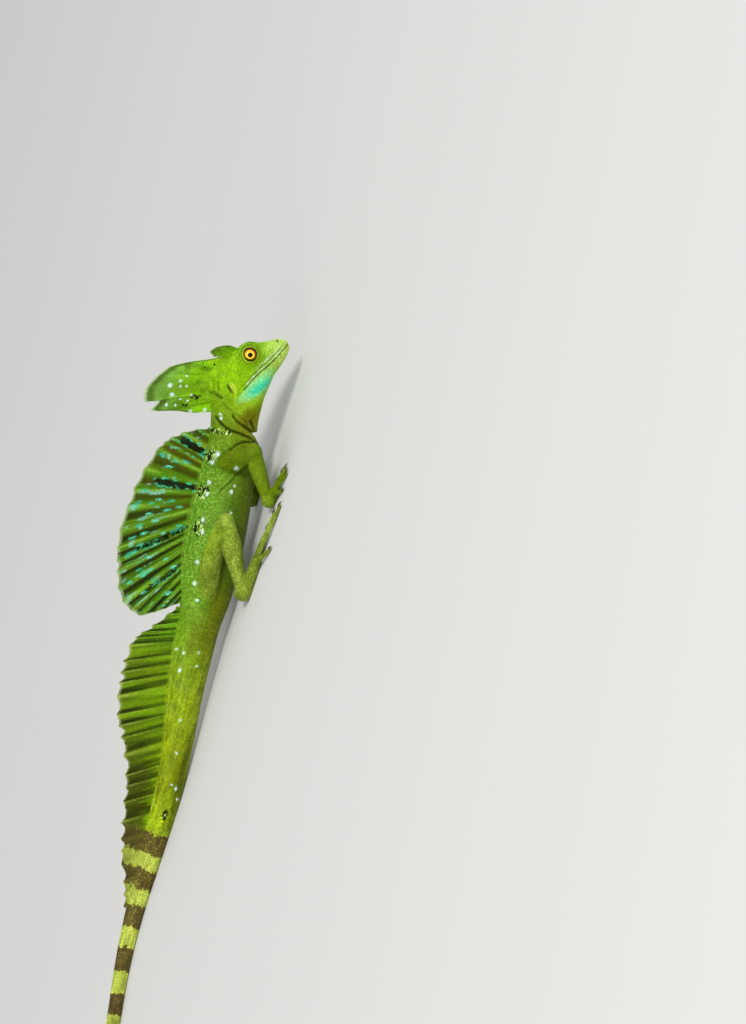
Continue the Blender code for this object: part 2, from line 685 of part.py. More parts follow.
def paint(obj, name, look):
    colour, roughness = look
    material = bpy.data.materials.get(name) or bpy.data.materials.new(name)
    material.use_nodes = True
    shader = material.node_tree.nodes["Principled BSDF"]
    shader.inputs["Base Color"].default_value = (*colour, 1)
    shader.inputs["Roughness"].default_value = roughness
    obj.data.materials.clear()
    obj.data.materials.append(material)


def material_of(name):
    if name.startswith("eye"):
        return "eye", EYE
    if "sail" in name or "crest" in name:
        return "sail_skin", SAIL
    if name.startswith("tail"):
        return "tail_skin", TAIL
    if name.split("_")[0] in ("upper", "forearm", "hand", "thigh", "shin", "foot"):
        return "limb_skin", LIMB
    return "body_skin", SKIN


def main():
    for obj in list(bpy.data.objects):
        bpy.data.objects.remove(obj)
    head = make_head()
    make_eyes()
    neck = make_neck(head_rings(2)[-1])
    torso = make_torso()
    tails = make_tail()
    make_ridge_sail("back_sail", BACK_SAIL)
    make_ridge_sail("tail_sail", TAIL_SAIL)
    make_crest("head_crest", HEAD_CREST, head, neck)
    make_crest("front_crest", FRONT_CREST, head)
    for side_name, side in (("right", -1), ("left", 1)):
        make_fore(side_name, side, torso, neck)
        make_hind(side_name, side, torso, tails["tail_base"])
    basilisk = bpy.data.collections.new("green_basilisk")
    bpy.context.scene.collection.children.link(basilisk)
    for obj in list(bpy.context.scene.collection.objects):
        bpy.context.scene.collection.objects.unlink(obj)
        basilisk.objects.link(obj)
        paint(obj, *material_of(obj.name))
        obj.data.shade_smooth()


main()
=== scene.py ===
# %% [markdown]
# # A green basilisk, skin and scales
# The solids of the animal are loaded first and stay where they are. Each step below gives one part of the
# body its real surface: one skin over all the flesh, scales over the skin, the sails and crests, the eyes
# and the claws. Lengths are in millimetres of the animal's own axes, with X to the snout, Y to its left
# and Z up from the floor, and are turned into metres only where a mesh is made.

# %% Load the solids
import math

import bmesh
import bpy
import numpy as np
from mathutils import Matrix, Vector
from mathutils.bvhtree import BVHTree


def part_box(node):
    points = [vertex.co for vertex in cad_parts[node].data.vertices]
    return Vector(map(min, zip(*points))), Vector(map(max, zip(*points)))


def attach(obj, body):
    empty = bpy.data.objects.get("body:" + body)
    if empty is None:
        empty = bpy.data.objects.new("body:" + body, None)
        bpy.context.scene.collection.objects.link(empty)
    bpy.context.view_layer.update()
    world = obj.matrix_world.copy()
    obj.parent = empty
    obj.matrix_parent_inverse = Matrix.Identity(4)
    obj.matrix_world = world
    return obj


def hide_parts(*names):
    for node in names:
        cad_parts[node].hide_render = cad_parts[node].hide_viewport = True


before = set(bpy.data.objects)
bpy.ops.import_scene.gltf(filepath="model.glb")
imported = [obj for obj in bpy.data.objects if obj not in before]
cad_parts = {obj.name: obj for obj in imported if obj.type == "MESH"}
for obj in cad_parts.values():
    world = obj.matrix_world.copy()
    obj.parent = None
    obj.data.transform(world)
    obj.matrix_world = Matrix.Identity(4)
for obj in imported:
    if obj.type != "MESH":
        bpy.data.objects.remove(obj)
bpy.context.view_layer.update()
MM = 0.001

# %% [markdown]
# ## Curves through a few points
# Every form here is drawn by a few measured points. A cubic curve whose slope at each point follows from
# the two points beside it passes through all of them, so a point can be read off the animal and typed in.
# The same function takes whole sections of the body as its points.

# %% A smooth curve through points
def through(knots, at):
    """The curve through the knots, read at knot numbers `at`."""
    points = np.asarray(knots, float)
    last = len(points) - 1
    at = np.clip(np.atleast_1d(np.asarray(at, float)), 0, last)
    i = np.minimum(at.astype(int), last - 1)
    t = (at - i).reshape((-1,) + (1,) * (points.ndim - 1))
    before = np.concatenate([[2 * points[0] - points[1]], points[:-2]])[i]
    after = np.concatenate([points[2:], [2 * points[-1] - points[-2]]])[i]
    here, there = points[i], points[i + 1]
    bend = 2 * before - 5 * here + 4 * there - after
    twist = 3 * here - before - 3 * there + after
    return 0.5 * (2 * here + (there - before) * t + bend * t**2 + twist * t**3)


def fine(knots, steps):
    """The curve through the knots at even steps from end to end."""
    return through(knots, np.linspace(0, len(knots) - 1, steps))


def smooth(low_edge, high_edge, value):
    """0 below the low edge, 1 above the high edge, and a soft step between."""
    t = np.clip((value - low_edge) / (high_edge - low_edge), 0, 1)
    return t * t * (3 - 2 * t)


print("a third of the way up its step, smooth gives", round(float(smooth(0, 3, 1)), 2))

# %% [markdown]
# ## The head's form
# A lizard's head is drawn well by five lines along it: crown, brow, mouth, jaw and throat. At each place
# the five points give one side of a section, and the other side mirrors it. The head has its own axes,
# pitched down.

# %% The head's lines, and the animal's place
HEAD_AT = np.array((166.5, 0.0, 40.7))
HEAD_PITCH = math.radians(-42)
EYE_CENTRE = np.array((-1.6, 6.7, 1.4))
EYE_RADIUS = 5.9
CROWN_LINE = (
    (27.2, 0, -4.6), (22.6, 0, -0.8), (14.5, 0, 1.7), (8, 0, 4.4), (1, 0, 6.9),
    (-7, 0, 7.2), (-16, 0, 7.2), (-25, 0, 6.5), (-33, 0, 3.0),
)
BROW_LINE = (
    (26.9, 2.0, -5.4), (22, 3.8, -2.2), (14, 5.6, 1.4), (7.5, 7.4, 4.4), (1, 8.6, 6.4),
    (-7, 9.2, 6.6), (-15, 9.4, 5.0), (-24, 8.8, 2.6), (-32, 7.6, -1.0),
)
MOUTH_LINE = (
    (27.6, 1.6, -7.6), (21.8, 4.8, -9.2), (14, 7.5, -11.0), (7, 9.5, -12.3), (0, 11.2, -13.0),
    (-7, 12.9, -14.0), (-14, 14.2, -15.8), (-22, 14.4, -18.0), (-30, 12.4, -20.5),
)
JAW_LINE = (
    (26.6, 1.6, -10.8), (21, 3.8, -13.6), (13.2, 5.8, -16.4), (6.4, 7.6, -18.4), (-1, 9.4, -20.8),
    (-8, 10.8, -23.2), (-14, 11.6, -25.8), (-20, 11.2, -29.0), (-27, 9.4, -32.0),
)
THROAT_LINE = (
    (26.2, 0, -11.6), (20.6, 0, -15.6), (13.4, 0, -18.9), (6.4, 0, -21.9), (-0.6, 0, -26.8),
    (-8, 0, -32.0), (-13.5, 0, -37.0), (-18.8, 0, -42.2), (-23.3, 0, -47.5),
)
COS, SIN = math.cos(HEAD_PITCH), math.sin(HEAD_PITCH)


def from_head(points):
    """Points of the head's axes (along, across, up) in the animal's axes."""
    along, across, up = np.moveaxis(np.asarray(points, float), -1, 0)
    return np.stack([HEAD_AT[0] + along * COS - up * SIN, across, HEAD_AT[2] + along * SIN + up * COS], -1)


def to_head(points):
    """Points of the animal's axes in the head's axes."""
    x, y, z = np.moveaxis(points - HEAD_AT, -1, 0)
    return np.stack([x * COS + z * SIN, y, z * COS - x * SIN], -1)


SHIFT = np.array(sum(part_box("eye_right"), Vector())) / 2 / MM - from_head(EYE_CENTRE * (1, -1, 1))
print("the animal's axes start at", SHIFT.round(2), "mm")

# %% [markdown]
# ## Sections across the head
# A section goes from the crown over brow, cheek, lips, jaw and chin to the throat. Only five of its
# points are measured. The others stand between them and are pushed out a little where flesh swells, so
# that a change to one line carries the whole head along. The mouth is three close points, and the middle
# one is drawn in as the slit between the lips.

# %% The head's sections
def head_half(at):
    """One side of the head's section at a place along its five lines, crown to throat."""
    crown, brow, mouth, jaw, throat = (
        through(line, at)[0] for line in (CROWN_LINE, BROW_LINE, MOUTH_LINE, JAW_LINE, THROAT_LINE)
    )
    size = min(1.0, 0.35 + 0.3 * at)
    out, up = np.array((0, 1, 0)), np.array((0, 0, 1))
    cheek = brow + (mouth - brow) * 0.5 + out * 1.5 * size
    chin = jaw + (throat - jaw) * 0.5 + out * jaw[1] * 0.16
    return np.array([
        crown,
        crown + (brow - crown) * 0.4 + up * 0.1,
        crown + (brow - crown) * 0.75 + up * 0.3 * size,
        brow,
        brow + (cheek - brow) * 0.5 + out * 0.5 * size,
        cheek,
        cheek + (mouth - cheek) * 0.45 + out * 0.6 * size,
        mouth + up * 2.4 * size + out * 0.1,
        mouth + up * 0.6 * size + out * 0.3 * size,
        mouth - out * 0.9 * size,
        mouth - up * 0.6 * size + out * 0.1 * size,
        mouth + (jaw - mouth) * 0.5 + out * 0.5 * size,
        jaw,
        chin,
        throat,
    ])


def whole_ring(half, per_row=3):
    """Both sides of a section, with the rows drawn finer."""
    ring = np.concatenate([half, half[-2:0:-1] * (1, -1, 1)])
    count = len(ring)
    wrapped = np.concatenate([ring[-2:], ring, ring[:3]])
    return through(wrapped, 2 + np.arange(count * per_row) / per_row)


print(len(whole_ring(head_half(2))), "points go round the head")

# %% [markdown]
# ## The body's form
# Neck, trunk and tail go on from the head's last section. Each station has a height of the back and of
# the belly, a half width, the share of the height that lies under the widest place, and two roundness
# powers, because a basilisk is roofed above and rounder below. The stations of neck and shoulders lean,
# so each gives the back and the belly a place of their own along X. From the middle of the tail on, all
# sections have one shape and only shrink.

# %% The stations of neck, trunk and tail
NECK_STATIONS = (
    (133.0, 62.0, 114.2, 20.6, 11.2, 0.50, 1.9, 1.9),
    (124.0, 58.5, 112.0, 24.0, 10.6, 0.50, 1.9, 2.0),
    (115.0, 55.8, 106.5, 17.6, 11.6, 0.48, 1.8, 2.1),
    (106.0, 53.8, 101.0, 16.2, 13.6, 0.46, 1.75, 2.2),
    (96.0, 52.8, 94.0, 15.0, 15.6, 0.45, 1.7, 2.2),
    (82.0, 51.8, 81.0, 13.2, 17.0, 0.44, 1.7, 2.2),
)
TRUNK_STATIONS = (
    (66, 51.0, 11.0, 17.8, 0.42, 1.7, 2.2),
    (46, 50.0, 8.6, 18.0, 0.42, 1.7, 2.2),
    (26, 48.4, 6.8, 17.4, 0.42, 1.7, 2.2),
    (6, 45.4, 5.6, 16.2, 0.43, 1.7, 2.2),
    (-12, 41.6, 5.8, 14.6, 0.45, 1.75, 2.2),
    (-30, 38.0, 7.4, 12.4, 0.47, 1.8, 2.1),
    (-52, 35.0, 6.9, 10.4, 0.47, 1.8, 2.1),
    (-78, 31.0, 5.8, 9.0, 0.46, 1.85, 2.1),
    (-105, 25.8, 3.4, 7.8, 0.46, 1.9, 2.1),
    (-135, 21.0, 0.9, 6.8, 0.46, 1.95, 2.2),
)
THIN_TAIL = (
    (-165, 18.2, -0.9, 6.1), (-205, 15.8, -0.9, 5.4), (-250, 12.6, -0.8, 4.6), (-300, 10.2, -0.7, 4.0),
    (-360, 8.8, -0.6, 3.5), (-430, 7.0, -0.5, 2.8), (-500, 5.0, -0.4, 2.1), (-570, 2.9, -0.3, 1.4),
    (-614, 1.3, -0.2, 0.7),
)
THIN_SHAPE = (0.45, 2.0, 2.2)
print(len(NECK_STATIONS) + len(TRUNK_STATIONS) + len(THIN_TAIL), "stations behind the head")

# %% [markdown]
# ## The tail's way over the floor
# The tail is more than half of the animal and lies in a long bend. It is drawn straight and then laid
# along a line on the floor, because sections that turn with the line keep their width, where a sideways
# shift would shear them. The way back to the straight tail is needed later, for bands that follow it.

# %% The tail's line
TAIL_START = -30.0
TAIL_PLAN = (
    (-30, 0), (-90, 0), (-150, 2), (-200, 11), (-242, 18), (-280, 13), (-318, -7),
    (-360, -35), (-410, -58), (-465, -64), (-520, -49), (-565, -22),
)
plan = fine(TAIL_PLAN, 40 * (len(TAIL_PLAN) - 1))
plan_length = np.concatenate([[0], np.cumsum(np.hypot(*np.diff(plan, axis=0).T))])
plan_turn = np.unwrap(np.arctan2(-np.gradient(plan[:, 1]), -np.gradient(plan[:, 0])))


def bend_tail(points):
    """Lays points of a straight tail along the tail's line over the floor."""
    behind = TAIL_START - points[..., 0]
    inside = np.clip(behind, 0, plan_length[-1])
    turn = np.interp(inside, plan_length, plan_turn)
    past = behind - inside
    bent = np.array(points, float)
    across = points[..., 1]
    bent[..., 0] = np.interp(inside, plan_length, plan[:, 0]) - past * np.cos(turn) - across * np.sin(turn)
    bent[..., 1] = np.interp(inside, plan_length, plan[:, 1]) - past * np.sin(turn) + across * np.cos(turn)
    return bent


POINTS_AT_ONCE = 20000


def straighten_tail(points):
    """The opposite of bend_tail, worked out in chunks to save memory."""
    straight = np.array(points, float)
    tail = np.where(points[:, 0] < TAIL_START)[0]
    for chunk in np.array_split(tail, max(1, len(tail) // POINTS_AT_ONCE)):
        gap = points[chunk, None, :2] - plan[None]
        nearest = np.argmin((gap**2).sum(-1), axis=1)
        x, y = gap[np.arange(len(chunk)), nearest].T
        turn = plan_turn[nearest]
        straight[chunk, 0] = TAIL_START - plan_length[nearest] + x * np.cos(turn) + y * np.sin(turn)
        straight[chunk, 1] = y * np.cos(turn) - x * np.sin(turn)
    return straight


print("the tail's line is", round(plan_length[-1]), "mm long")

# %% The rings of the whole body
ROWS = 14
HEAD_STEPS = 96
RINGS_PER_STATION = 14


def round_half(waist, above, below):
    """One side of a rounded section as (share of the way down, share of the half width)."""
    turn = np.pi * np.arange(ROWS + 1) / ROWS
    c, s = np.cos(turn), np.abs(np.sin(turn))
    power = np.where(c >= 0, above, below)
    height = np.abs(c) ** (2 / power)
    down = np.where(c >= 0, (1 - waist) * (1 - height), (1 - waist) + waist * height)
    return np.stack([down, s ** (2 / power)], 1)


places = np.linspace(0, len(CROWN_LINE) - 1, HEAD_STEPS)
head_rings = [from_head(whole_ring(head_half(at))) for at in places]
back_half = head_half(len(CROWN_LINE) - 1)
back_line = back_half[-1] - back_half[0]
head_section = np.stack([
    (back_half - back_half[0]) @ back_line / (back_line @ back_line),
    back_half[:, 1] / back_half[:, 1].max(),
], 1)
top, bottom = from_head(back_half[[0, -1]])
head_station = (top[0], top[2], bottom[0], bottom[2], back_half[:, 1].max(), 0.5, 1.9, 1.9)
upright = (*TRUNK_STATIONS, *((*place, *THIN_SHAPE) for place in THIN_TAIL))
stations = (head_station, *NECK_STATIONS, *((x, back, x, *rest) for x, back, *rest in upright))


def body_ring(at):
    """The ring at a place along the stations; near the head it takes the head's section."""
    back_x, back_z, belly_x, belly_z, width, waist, above, below = through(stations, at)[0]
    mix = min(1.0, at / 2.5)
    down, across = (head_section * (1 - mix) + round_half(waist, above, below) * mix).T
    along, height = back_x + (belly_x - back_x) * down, back_z + (belly_z - back_z) * down
    return whole_ring(np.stack([along, width * across, height], 1))


last = len(stations) - 1
body_rings = [body_ring(at) for at in np.linspace(0, last, RINGS_PER_STATION * last)[1:]]
straight_rings = np.array(head_rings + body_rings)
trunk_rings = bend_tail(straight_rings)
print(len(trunk_rings), "rings from the snout to the tip of the tail")

# %% [markdown]
# ## The legs' form
# Each leg is a few oval tubes with round ends, from joint to joint: upper arm, forearm and hand in front,
# thigh, shin and foot behind. A tube is drawn like the body, by a few centres and sizes with a smooth
# curve through them. Toes rise from the sole, arch over the first joint and come down to their claws.

# %% Joints and sizes of the legs
FORE_LEGS = {
    -1: {"shoulder": (86, -9, 36), "elbow": (99, -33, 26), "wrist": (69, -33, 5.6), "heading": -20},
    1: {"shoulder": (86, 9, 36), "elbow": (95, 34, 26), "wrist": (66, 34, 5.6), "heading": 20},
}
HIND_LEGS = {
    -1: {"hip": (-12, -8, 22.5), "knee": (46.5, -29, 30), "ankle": (1, -38, 6.2), "heading": -8},
    1: {"hip": (-12, 8, 22.5), "knee": (43, 31, 29), "ankle": (-6, 41, 6.2), "heading": 13},
}
UPPER_ARM_SIZES = ((9.5, 11.0), (8.8, 9.8), (6.8, 7.2))
FOREARM_SIZES = ((6.0, 6.4), (5.4, 5.8), (3.6, 3.5))
THIGH_SIZES = ((7.8, 8.4), (8.4, 7.8), (6.6, 6.4), (5.6, 5.6))
THIGH_ARCH = (3.4, 2.6)
SHIN_SIZES = ((5.8, 5.8), (7.2, 7.4), (5.2, 5.4), (4.2, 4.3))
FINGERS = {"lengths": (10, 15, 19, 20, 14), "fan": (48, 24, 4, -16, -44), "radius": 1.75, "spread": 3.2}
TOES = {"lengths": (16, 26, 38, 47, 27), "fan": (26, 12, 1, -11, -48), "radius": 2.0, "spread": 3.4}
CLAW_LENGTH = 4.0
print("the longest toe is", max(TOES["lengths"]), "mm long")

# %% A tube
def tube(centres, sizes, sides=24, steps=24, round_ends=(True, True)):
    """Rings of an oval tube; sizes are (half width, half height), and an end may be closed by a dome."""
    centres, sizes = fine(centres, steps), fine(sizes, steps)
    ways = np.gradient(centres, axis=0)
    ways /= np.linalg.norm(ways, axis=1)[:, None]
    path = list(zip(centres, sizes, ways))
    dome = [(math.sin(a), math.cos(a)) for a in np.radians((80, 62, 42, 22))]
    for end, closed, beyond in ((0, round_ends[0], -1), (-1, round_ends[1], 1)):
        out = ways[end] * beyond
        reach = out * sizes[end].min()
        cap = [(centres[end] + reach * up, sizes[end] * wide, ways[end]) for up, wide in dome]
        if closed:
            path = cap + path if end == 0 else path + cap[::-1]
    turn = 2 * np.pi * np.arange(sides) / sides
    rings = []
    for centre, size, way in path:
        side = np.cross((0, 0, 1), way)
        side /= np.linalg.norm(side)
        up = np.cross(way, side)
        rings.append(centre + np.outer(np.cos(turn) * size[0], side) + np.outer(np.sin(turn) * size[1], up))
    return np.array(rings)


short_tube = tube(((0, 0, 0), (9, 0, 0)), ((1, 1), (1, 1)))
print("a tube is", len(short_tube), "rings of", short_tube.shape[1], "points")

# %% Toes and feet
def toe_tubes(root, heading, length, radius):
    """The rings of one toe, and those of its claw."""
    way = np.array((math.cos(heading), math.sin(heading), 0))
    stops = ((-0.12, 3.0, 1.0), (0.2, 3.6, 1.0), (0.34, 3.3, 0.86), (0.48, 3.0, 0.92), (0.62, 2.2, 0.76),
             (0.76, 1.7, 0.82), (0.88, 1.2, 0.68), (1.0, 1.0, 0.62))
    centres = [root + way * length * s + (0, 0, z * radius / 2) for s, z, _ in stops]
    toe = tube(centres, [(radius * r, radius * r * 0.92) for _, _, r in stops], 12, 26)
    curl = ((-0.25, 0.4, 0.75), (0.1, 1.0, 0.72), (0.45, 1.0, 0.52), (0.8, 0.5, 0.28), (1.0, -0.2, 0.06))
    claw_line = [centres[-1] + way * CLAW_LENGTH * s + (0, 0, z * 0.8) for s, z, _ in curl]
    claw_sizes = [(radius * r * 0.5, radius * r * 0.75) for _, _, r in curl]
    return toe, tube(claw_line, claw_sizes, 12, 16, (False, True))


def foot_tubes(wrist, heading, plan, side, palm_length, palm_size, heel):
    """The rings of a palm and its toes, and those of the claws."""
    turn = math.radians(heading)
    way = np.array((math.cos(turn), math.sin(turn), 0))
    outward = np.array((-way[1], way[0], 0)) * side
    wrist = np.array(wrist, float)
    front = wrist + way * palm_length
    front[2] = palm_size[1] - 0.4
    middle = (wrist + front) / 2
    middle[2] = palm_size[1] * 1.05
    back = wrist - way * heel
    back[2] = wrist[2] * 0.86
    flesh = [tube([back, middle, front], [
        (palm_size[0] * 0.75, wrist[2]), (palm_size[0] * 0.9, palm_size[1] * 1.25), palm_size,
    ])]
    claws = []
    for i, (length, fan) in enumerate(zip(plan["lengths"], plan["fan"])):
        offset = (i - 2) * plan["spread"] * 0.55
        root = front + outward * offset - way * (1.5 + 0.9 * abs(i - 2) ** 1.5)
        root[2] = 0
        toe, claw = toe_tubes(root, turn - side * math.radians(fan), length, plan["radius"])
        flesh.append(toe)
        claws.append(claw)
    return flesh, claws


print("a toe is drawn by", len(toe_tubes(np.zeros(3), 0.0, 20.0, 1.75)[0]), "rings")

# %% All tubes of the four legs
leg_tubes, toe_rings, claw_rings = [], [], []
for side, leg in FORE_LEGS.items():
    shoulder, elbow, wrist = (np.array(leg[k], float) for k in ("shoulder", "elbow", "wrist"))
    leg_tubes.append(tube([shoulder, (shoulder + elbow) / 2, elbow], UPPER_ARM_SIZES))
    leg_tubes.append(tube([elbow, elbow * 0.6 + wrist * 0.4, wrist], FOREARM_SIZES))
    flesh, claws = foot_tubes(wrist, leg["heading"], FINGERS, side, 9.5, (5.6, 3.0), 1.0)
    toe_rings += flesh
    claw_rings += claws
for side, leg in HIND_LEGS.items():
    hip, knee, ankle = (np.array(leg[k], float) for k in ("hip", "knee", "ankle"))
    near_hip = hip * 0.6 + knee * 0.4 + (0, 0, THIGH_ARCH[0])
    near_knee = hip * 0.2 + knee * 0.8 + (0, 0, THIGH_ARCH[1])
    leg_tubes.append(tube([hip, near_hip, near_knee, knee], THIGH_SIZES))
    shin = [knee, knee * 0.62 + ankle * 0.38, knee * 0.3 + ankle * 0.7, ankle]
    leg_tubes.append(tube(shin, SHIN_SIZES))
    flesh, claws = foot_tubes(ankle, leg["heading"], TOES, side, 25.0, (7.0, 3.4), 1.5)
    toe_rings += flesh
    claw_rings += claws
print(len(leg_tubes), "leg tubes,", len(toe_rings), "palms and toes,", len(claw_rings), "claws")

# %% [markdown]
# ## The sails
# A male's back and tail carry skin sails held up by bony rays. Each is a grid with a column at each small
# step along the root and a row at each step to the edge. Between two rays the skin folds to the side,
# which gives the pleats, and it grows thinner to its scalloped edge. Both faces come from one middle
# surface, so they never cross.

# %% Outlines and rays of the sails and crests
BACK_SAIL = {
    "outline": (
        (108, 55.5), (101, 70.5), (92, 81.5), (79, 89), (54, 95.8), (23, 97.8), (4, 95.6), (-13, 90.4),
        (-27.5, 83.5), (-36.5, 68), (-31, 55), (-21, 42),
    ),
    "root": (107.0, -17.0), "rays": 20, "per_ray": 12, "rows": 64, "root_half": 0.9, "edge_half": 0.22,
    "ray_half": 0.4, "pleat": 0.95, "scallop": 1.6, "lean": 1.6, "swell": 2.4, "swell_reach": 0.14,
}
TAIL_SAIL = {
    "outline": (
        (-23, 42.5), (-41, 56), (-54, 66), (-72, 69), (-92, 67), (-112, 62), (-132, 52), (-155, 42.5),
        (-180, 37.5), (-205, 30), (-225, 22), (-246, 14.6),
    ),
    "root": (-22, -33, -43, -56, -74, -94, -114, -140, -167, -194, -217.5, -241),
    "rays": 24, "per_ray": 12, "rows": 40, "root_half": 0.7, "edge_half": 0.2,
    "ray_half": 0.35, "pleat": 0.7, "scallop": 3.2, "lean": 1.2, "swell": 2.0, "swell_reach": 0.16,
}
HEAD_CREST = {
    "outline": (
        (163, 54.5), (156.5, 66.5), (150, 81), (143, 94), (132, 103.2), (121, 108), (112.6, 106.2),
        (116.2, 97), (107.9, 99), (112, 84), (114.2, 71), (118.5, 59.5),
    ),
    "root": ((157, 50), (146, 56), (133, 55), (122, 51)), "rays": 12, "per_ray": 16, "rows": 70,
    "root_half": 1.3, "edge_half": 0.25, "ray_half": 0.2, "pleat": 0.15, "scallop": 0.5, "lean": 1.0,
    "swell": 5.4, "swell_reach": 0.42,
}
FRONT_CREST = {
    "outline": (
        (168.6, 52), (168.8, 57), (167.6, 61.5), (165.2, 66), (161, 70.2), (158.9, 68.4), (157.4, 66.4),
    ),
    "root": ((166.5, 46.5), (164.6, 48.2), (162.6, 50)), "rays": 5, "per_ray": 12, "rows": 30,
    "root_half": 1.0, "edge_half": 0.22, "ray_half": 0.15, "pleat": 0.1, "scallop": 0.3, "lean": 0.3,
    "swell": 2.4, "swell_reach": 0.4,
}
print("rays:", [sail["rays"] for sail in (BACK_SAIL, TAIL_SAIL, HEAD_CREST, FRONT_CREST)])

# %% [markdown]
# ## A sail as one folded sheet
# The root of a body sail sinks a little into the back's ridge, and a crest has a root line of its own.
# Every column of the grid runs from the root to the edge. The edge is cut in between two rays, each ray
# is thicker than the skin beside it, and the whole sheet leans slowly from side to side as a relaxed sail
# does.

# %% A sail's surface
RAY_DRIFT = 0.2
ROOT_SINK = 1.5
ridge_line = straight_rings[:, 0][:, [0, 2]]
ridge_line = ridge_line[np.argsort(ridge_line[:, 0])]


def sail_surface(sail):
    """The middle surface, half thickness and shares, as columns along the root by rows to the edge."""
    columns = (sail["rays"] - 1) * sail["per_ray"] + 1
    share = np.linspace(0, 1, columns)
    root = fine(sail["root"], columns)
    if root.ndim == 1:
        root = np.stack([root, np.interp(root, *ridge_line.T) - ROOT_SINK], 1)
    phase = share * (sail["rays"] - 1)
    phase = phase + RAY_DRIFT * np.sin(phase * 1.7)
    between = 0.5 - 0.5 * np.cos(2 * np.pi * phase)
    edge = fine(sail["outline"], columns)
    length = np.linalg.norm(edge - root, axis=1)
    uneven = 0.85 + 0.5 * np.sin(phase * 2.3) * np.sin(phase * 1.1 + 2)
    cut = np.minimum(sail["scallop"] * uneven, length * 0.3) * np.abs(np.sin(np.pi * phase)) ** 0.7
    cut = cut + 0.25 * np.abs(np.sin(4 * np.pi * phase + 1))
    edge = edge + (root - edge) / length[:, None] * cut[:, None]
    out = np.linspace(0, 1, sail["rows"] + 1)
    flat = root[:, None] + (edge - root)[:, None] * out[None, :, None]
    swing = sail["lean"] * out[None] * np.sin(share * 9.0)[:, None]
    rise = np.sin(np.pi * np.clip(out * 0.62 + 0.12, 0, 1))[None]
    fold = sail["pleat"] * rise * (1 - 2 * between + 0.22 * np.cos(4 * np.pi * phase))[:, None]
    middle = np.stack([flat[..., 0], swing + fold, flat[..., 1]], -1)
    taper = sail["root_half"] + (sail["edge_half"] - sail["root_half"]) * out[None] ** 0.6
    on_ray = np.exp(-(((phase - np.round(phase)) * 7) ** 2))[:, None]
    half = taper + sail["ray_half"] * on_ray * (1 - 0.75 * out[None])
    shares = np.stack(np.broadcast_arrays(phase[:, None], out[None]), -1)
    return middle, half, shares


print("the back sail's middle surface is a grid of", sail_surface(BACK_SAIL)[1].shape, "points")

# %% A sail's mesh
def outward(mesh):
    """Turns every face of a closed mesh outwards."""
    built = bmesh.new()
    built.from_mesh(mesh)
    bmesh.ops.recalc_face_normals(built, faces=built.faces)
    built.to_mesh(mesh)
    built.free()


def sail_mesh(name, middle, half):
    """A closed thin mesh about a middle surface."""
    columns, rows = half.shape
    sides = [bend_tail(middle + np.stack([0 * half, way * half, 0 * half], -1)) for way in (-1, 1)]
    points = np.concatenate([side.reshape(-1, 3) for side in sides])
    other = columns * rows
    grid = np.arange(other).reshape(columns, rows)
    a, b, c, d = grid[:-1, :-1].ravel(), grid[:-1, 1:].ravel(), grid[1:, 1:].ravel(), grid[1:, :-1].ravel()
    near = np.concatenate([np.stack([a, b, c], 1), np.stack([a, c, d], 1)])
    rim = np.concatenate([grid[:, 0], grid[-1, 1:], grid[-2::-1, -1], grid[0, -2:0:-1]])
    after = np.roll(rim, -1)
    upper, lower = (rim, after, after + other), (rim, after + other, rim + other)
    band = np.concatenate([np.stack(upper, 1), np.stack(lower, 1)])
    faces = np.concatenate([near, near[:, ::-1] + other, band])
    mesh = bpy.data.meshes.new(name)
    mesh.from_pydata((points + SHIFT) * MM, [], faces.tolist())
    outward(mesh)
    mesh.shade_smooth()
    return mesh, points


small_sheet, _ = sail_mesh("small sheet", *sail_surface(FRONT_CREST)[:2])
print("the small crest's sheet has", len(small_sheet.polygons), "triangles")

# %% [markdown]
# ## One skin over all the flesh
# Real skin has no seam at the shoulder, the hip or the root of a crest. The trunk, the legs, the lids and
# a swelling along the root of each sail are put in one mesh. A voxel remesh melts them into one closed
# surface, and a few rounds of relaxing turn each joint into a soft fold.

# %% Meshes from rings
def loft(name, ring_sets):
    """One mesh with a closed tube for each set of rings."""
    points, faces, start = [], [], 0
    for rings in ring_sets:
        rows, count = rings.shape[:2]
        points.append(rings.reshape(-1, 3))
        for i in range(rows - 1):
            for j in range(count):
                k = (j + 1) % count
                faces.append((start + i * count + j, start + i * count + k,
                              start + (i + 1) * count + k, start + (i + 1) * count + j))
        faces.append([start + j for j in range(count)][::-1])
        faces.append([start + (rows - 1) * count + j for j in range(count)])
        start += rows * count
    mesh = bpy.data.meshes.new(name)
    mesh.from_pydata((np.concatenate(points) + SHIFT) * MM, [], faces)
    outward(mesh)
    return mesh


print(len(loft("two claws", claw_rings[:2]).polygons), "faces in the mesh of two claws")

# %% Pieces, and the points of their meshes
def piece(name, mesh):
    """An object at the origin that holds the mesh."""
    made = bpy.data.objects.new(name, mesh)
    bpy.context.scene.collection.objects.link(made)
    return made


def baked(obj):
    """The object's mesh with its modifiers applied, which are then removed."""
    mesh = bpy.data.meshes.new_from_object(obj.evaluated_get(bpy.context.evaluated_depsgraph_get()))
    obj.modifiers.clear()
    obj.data = mesh
    return mesh


def positions(mesh):
    """The mesh's points in millimetres of the animal's axes."""
    flat = np.empty(len(mesh.vertices) * 3)
    mesh.vertices.foreach_get("co", flat)
    return flat.reshape(-1, 3) / MM - SHIFT


def move_to(mesh, points):
    """Puts the mesh's points at places of the animal's axes."""
    mesh.vertices.foreach_set("co", ((points + SHIFT) * MM).ravel())
    mesh.update()


first_claw = positions(loft("a claw", claw_rings[:1]))
print("the first claw measures", np.ptp(first_claw, axis=0).round(1), "mm")

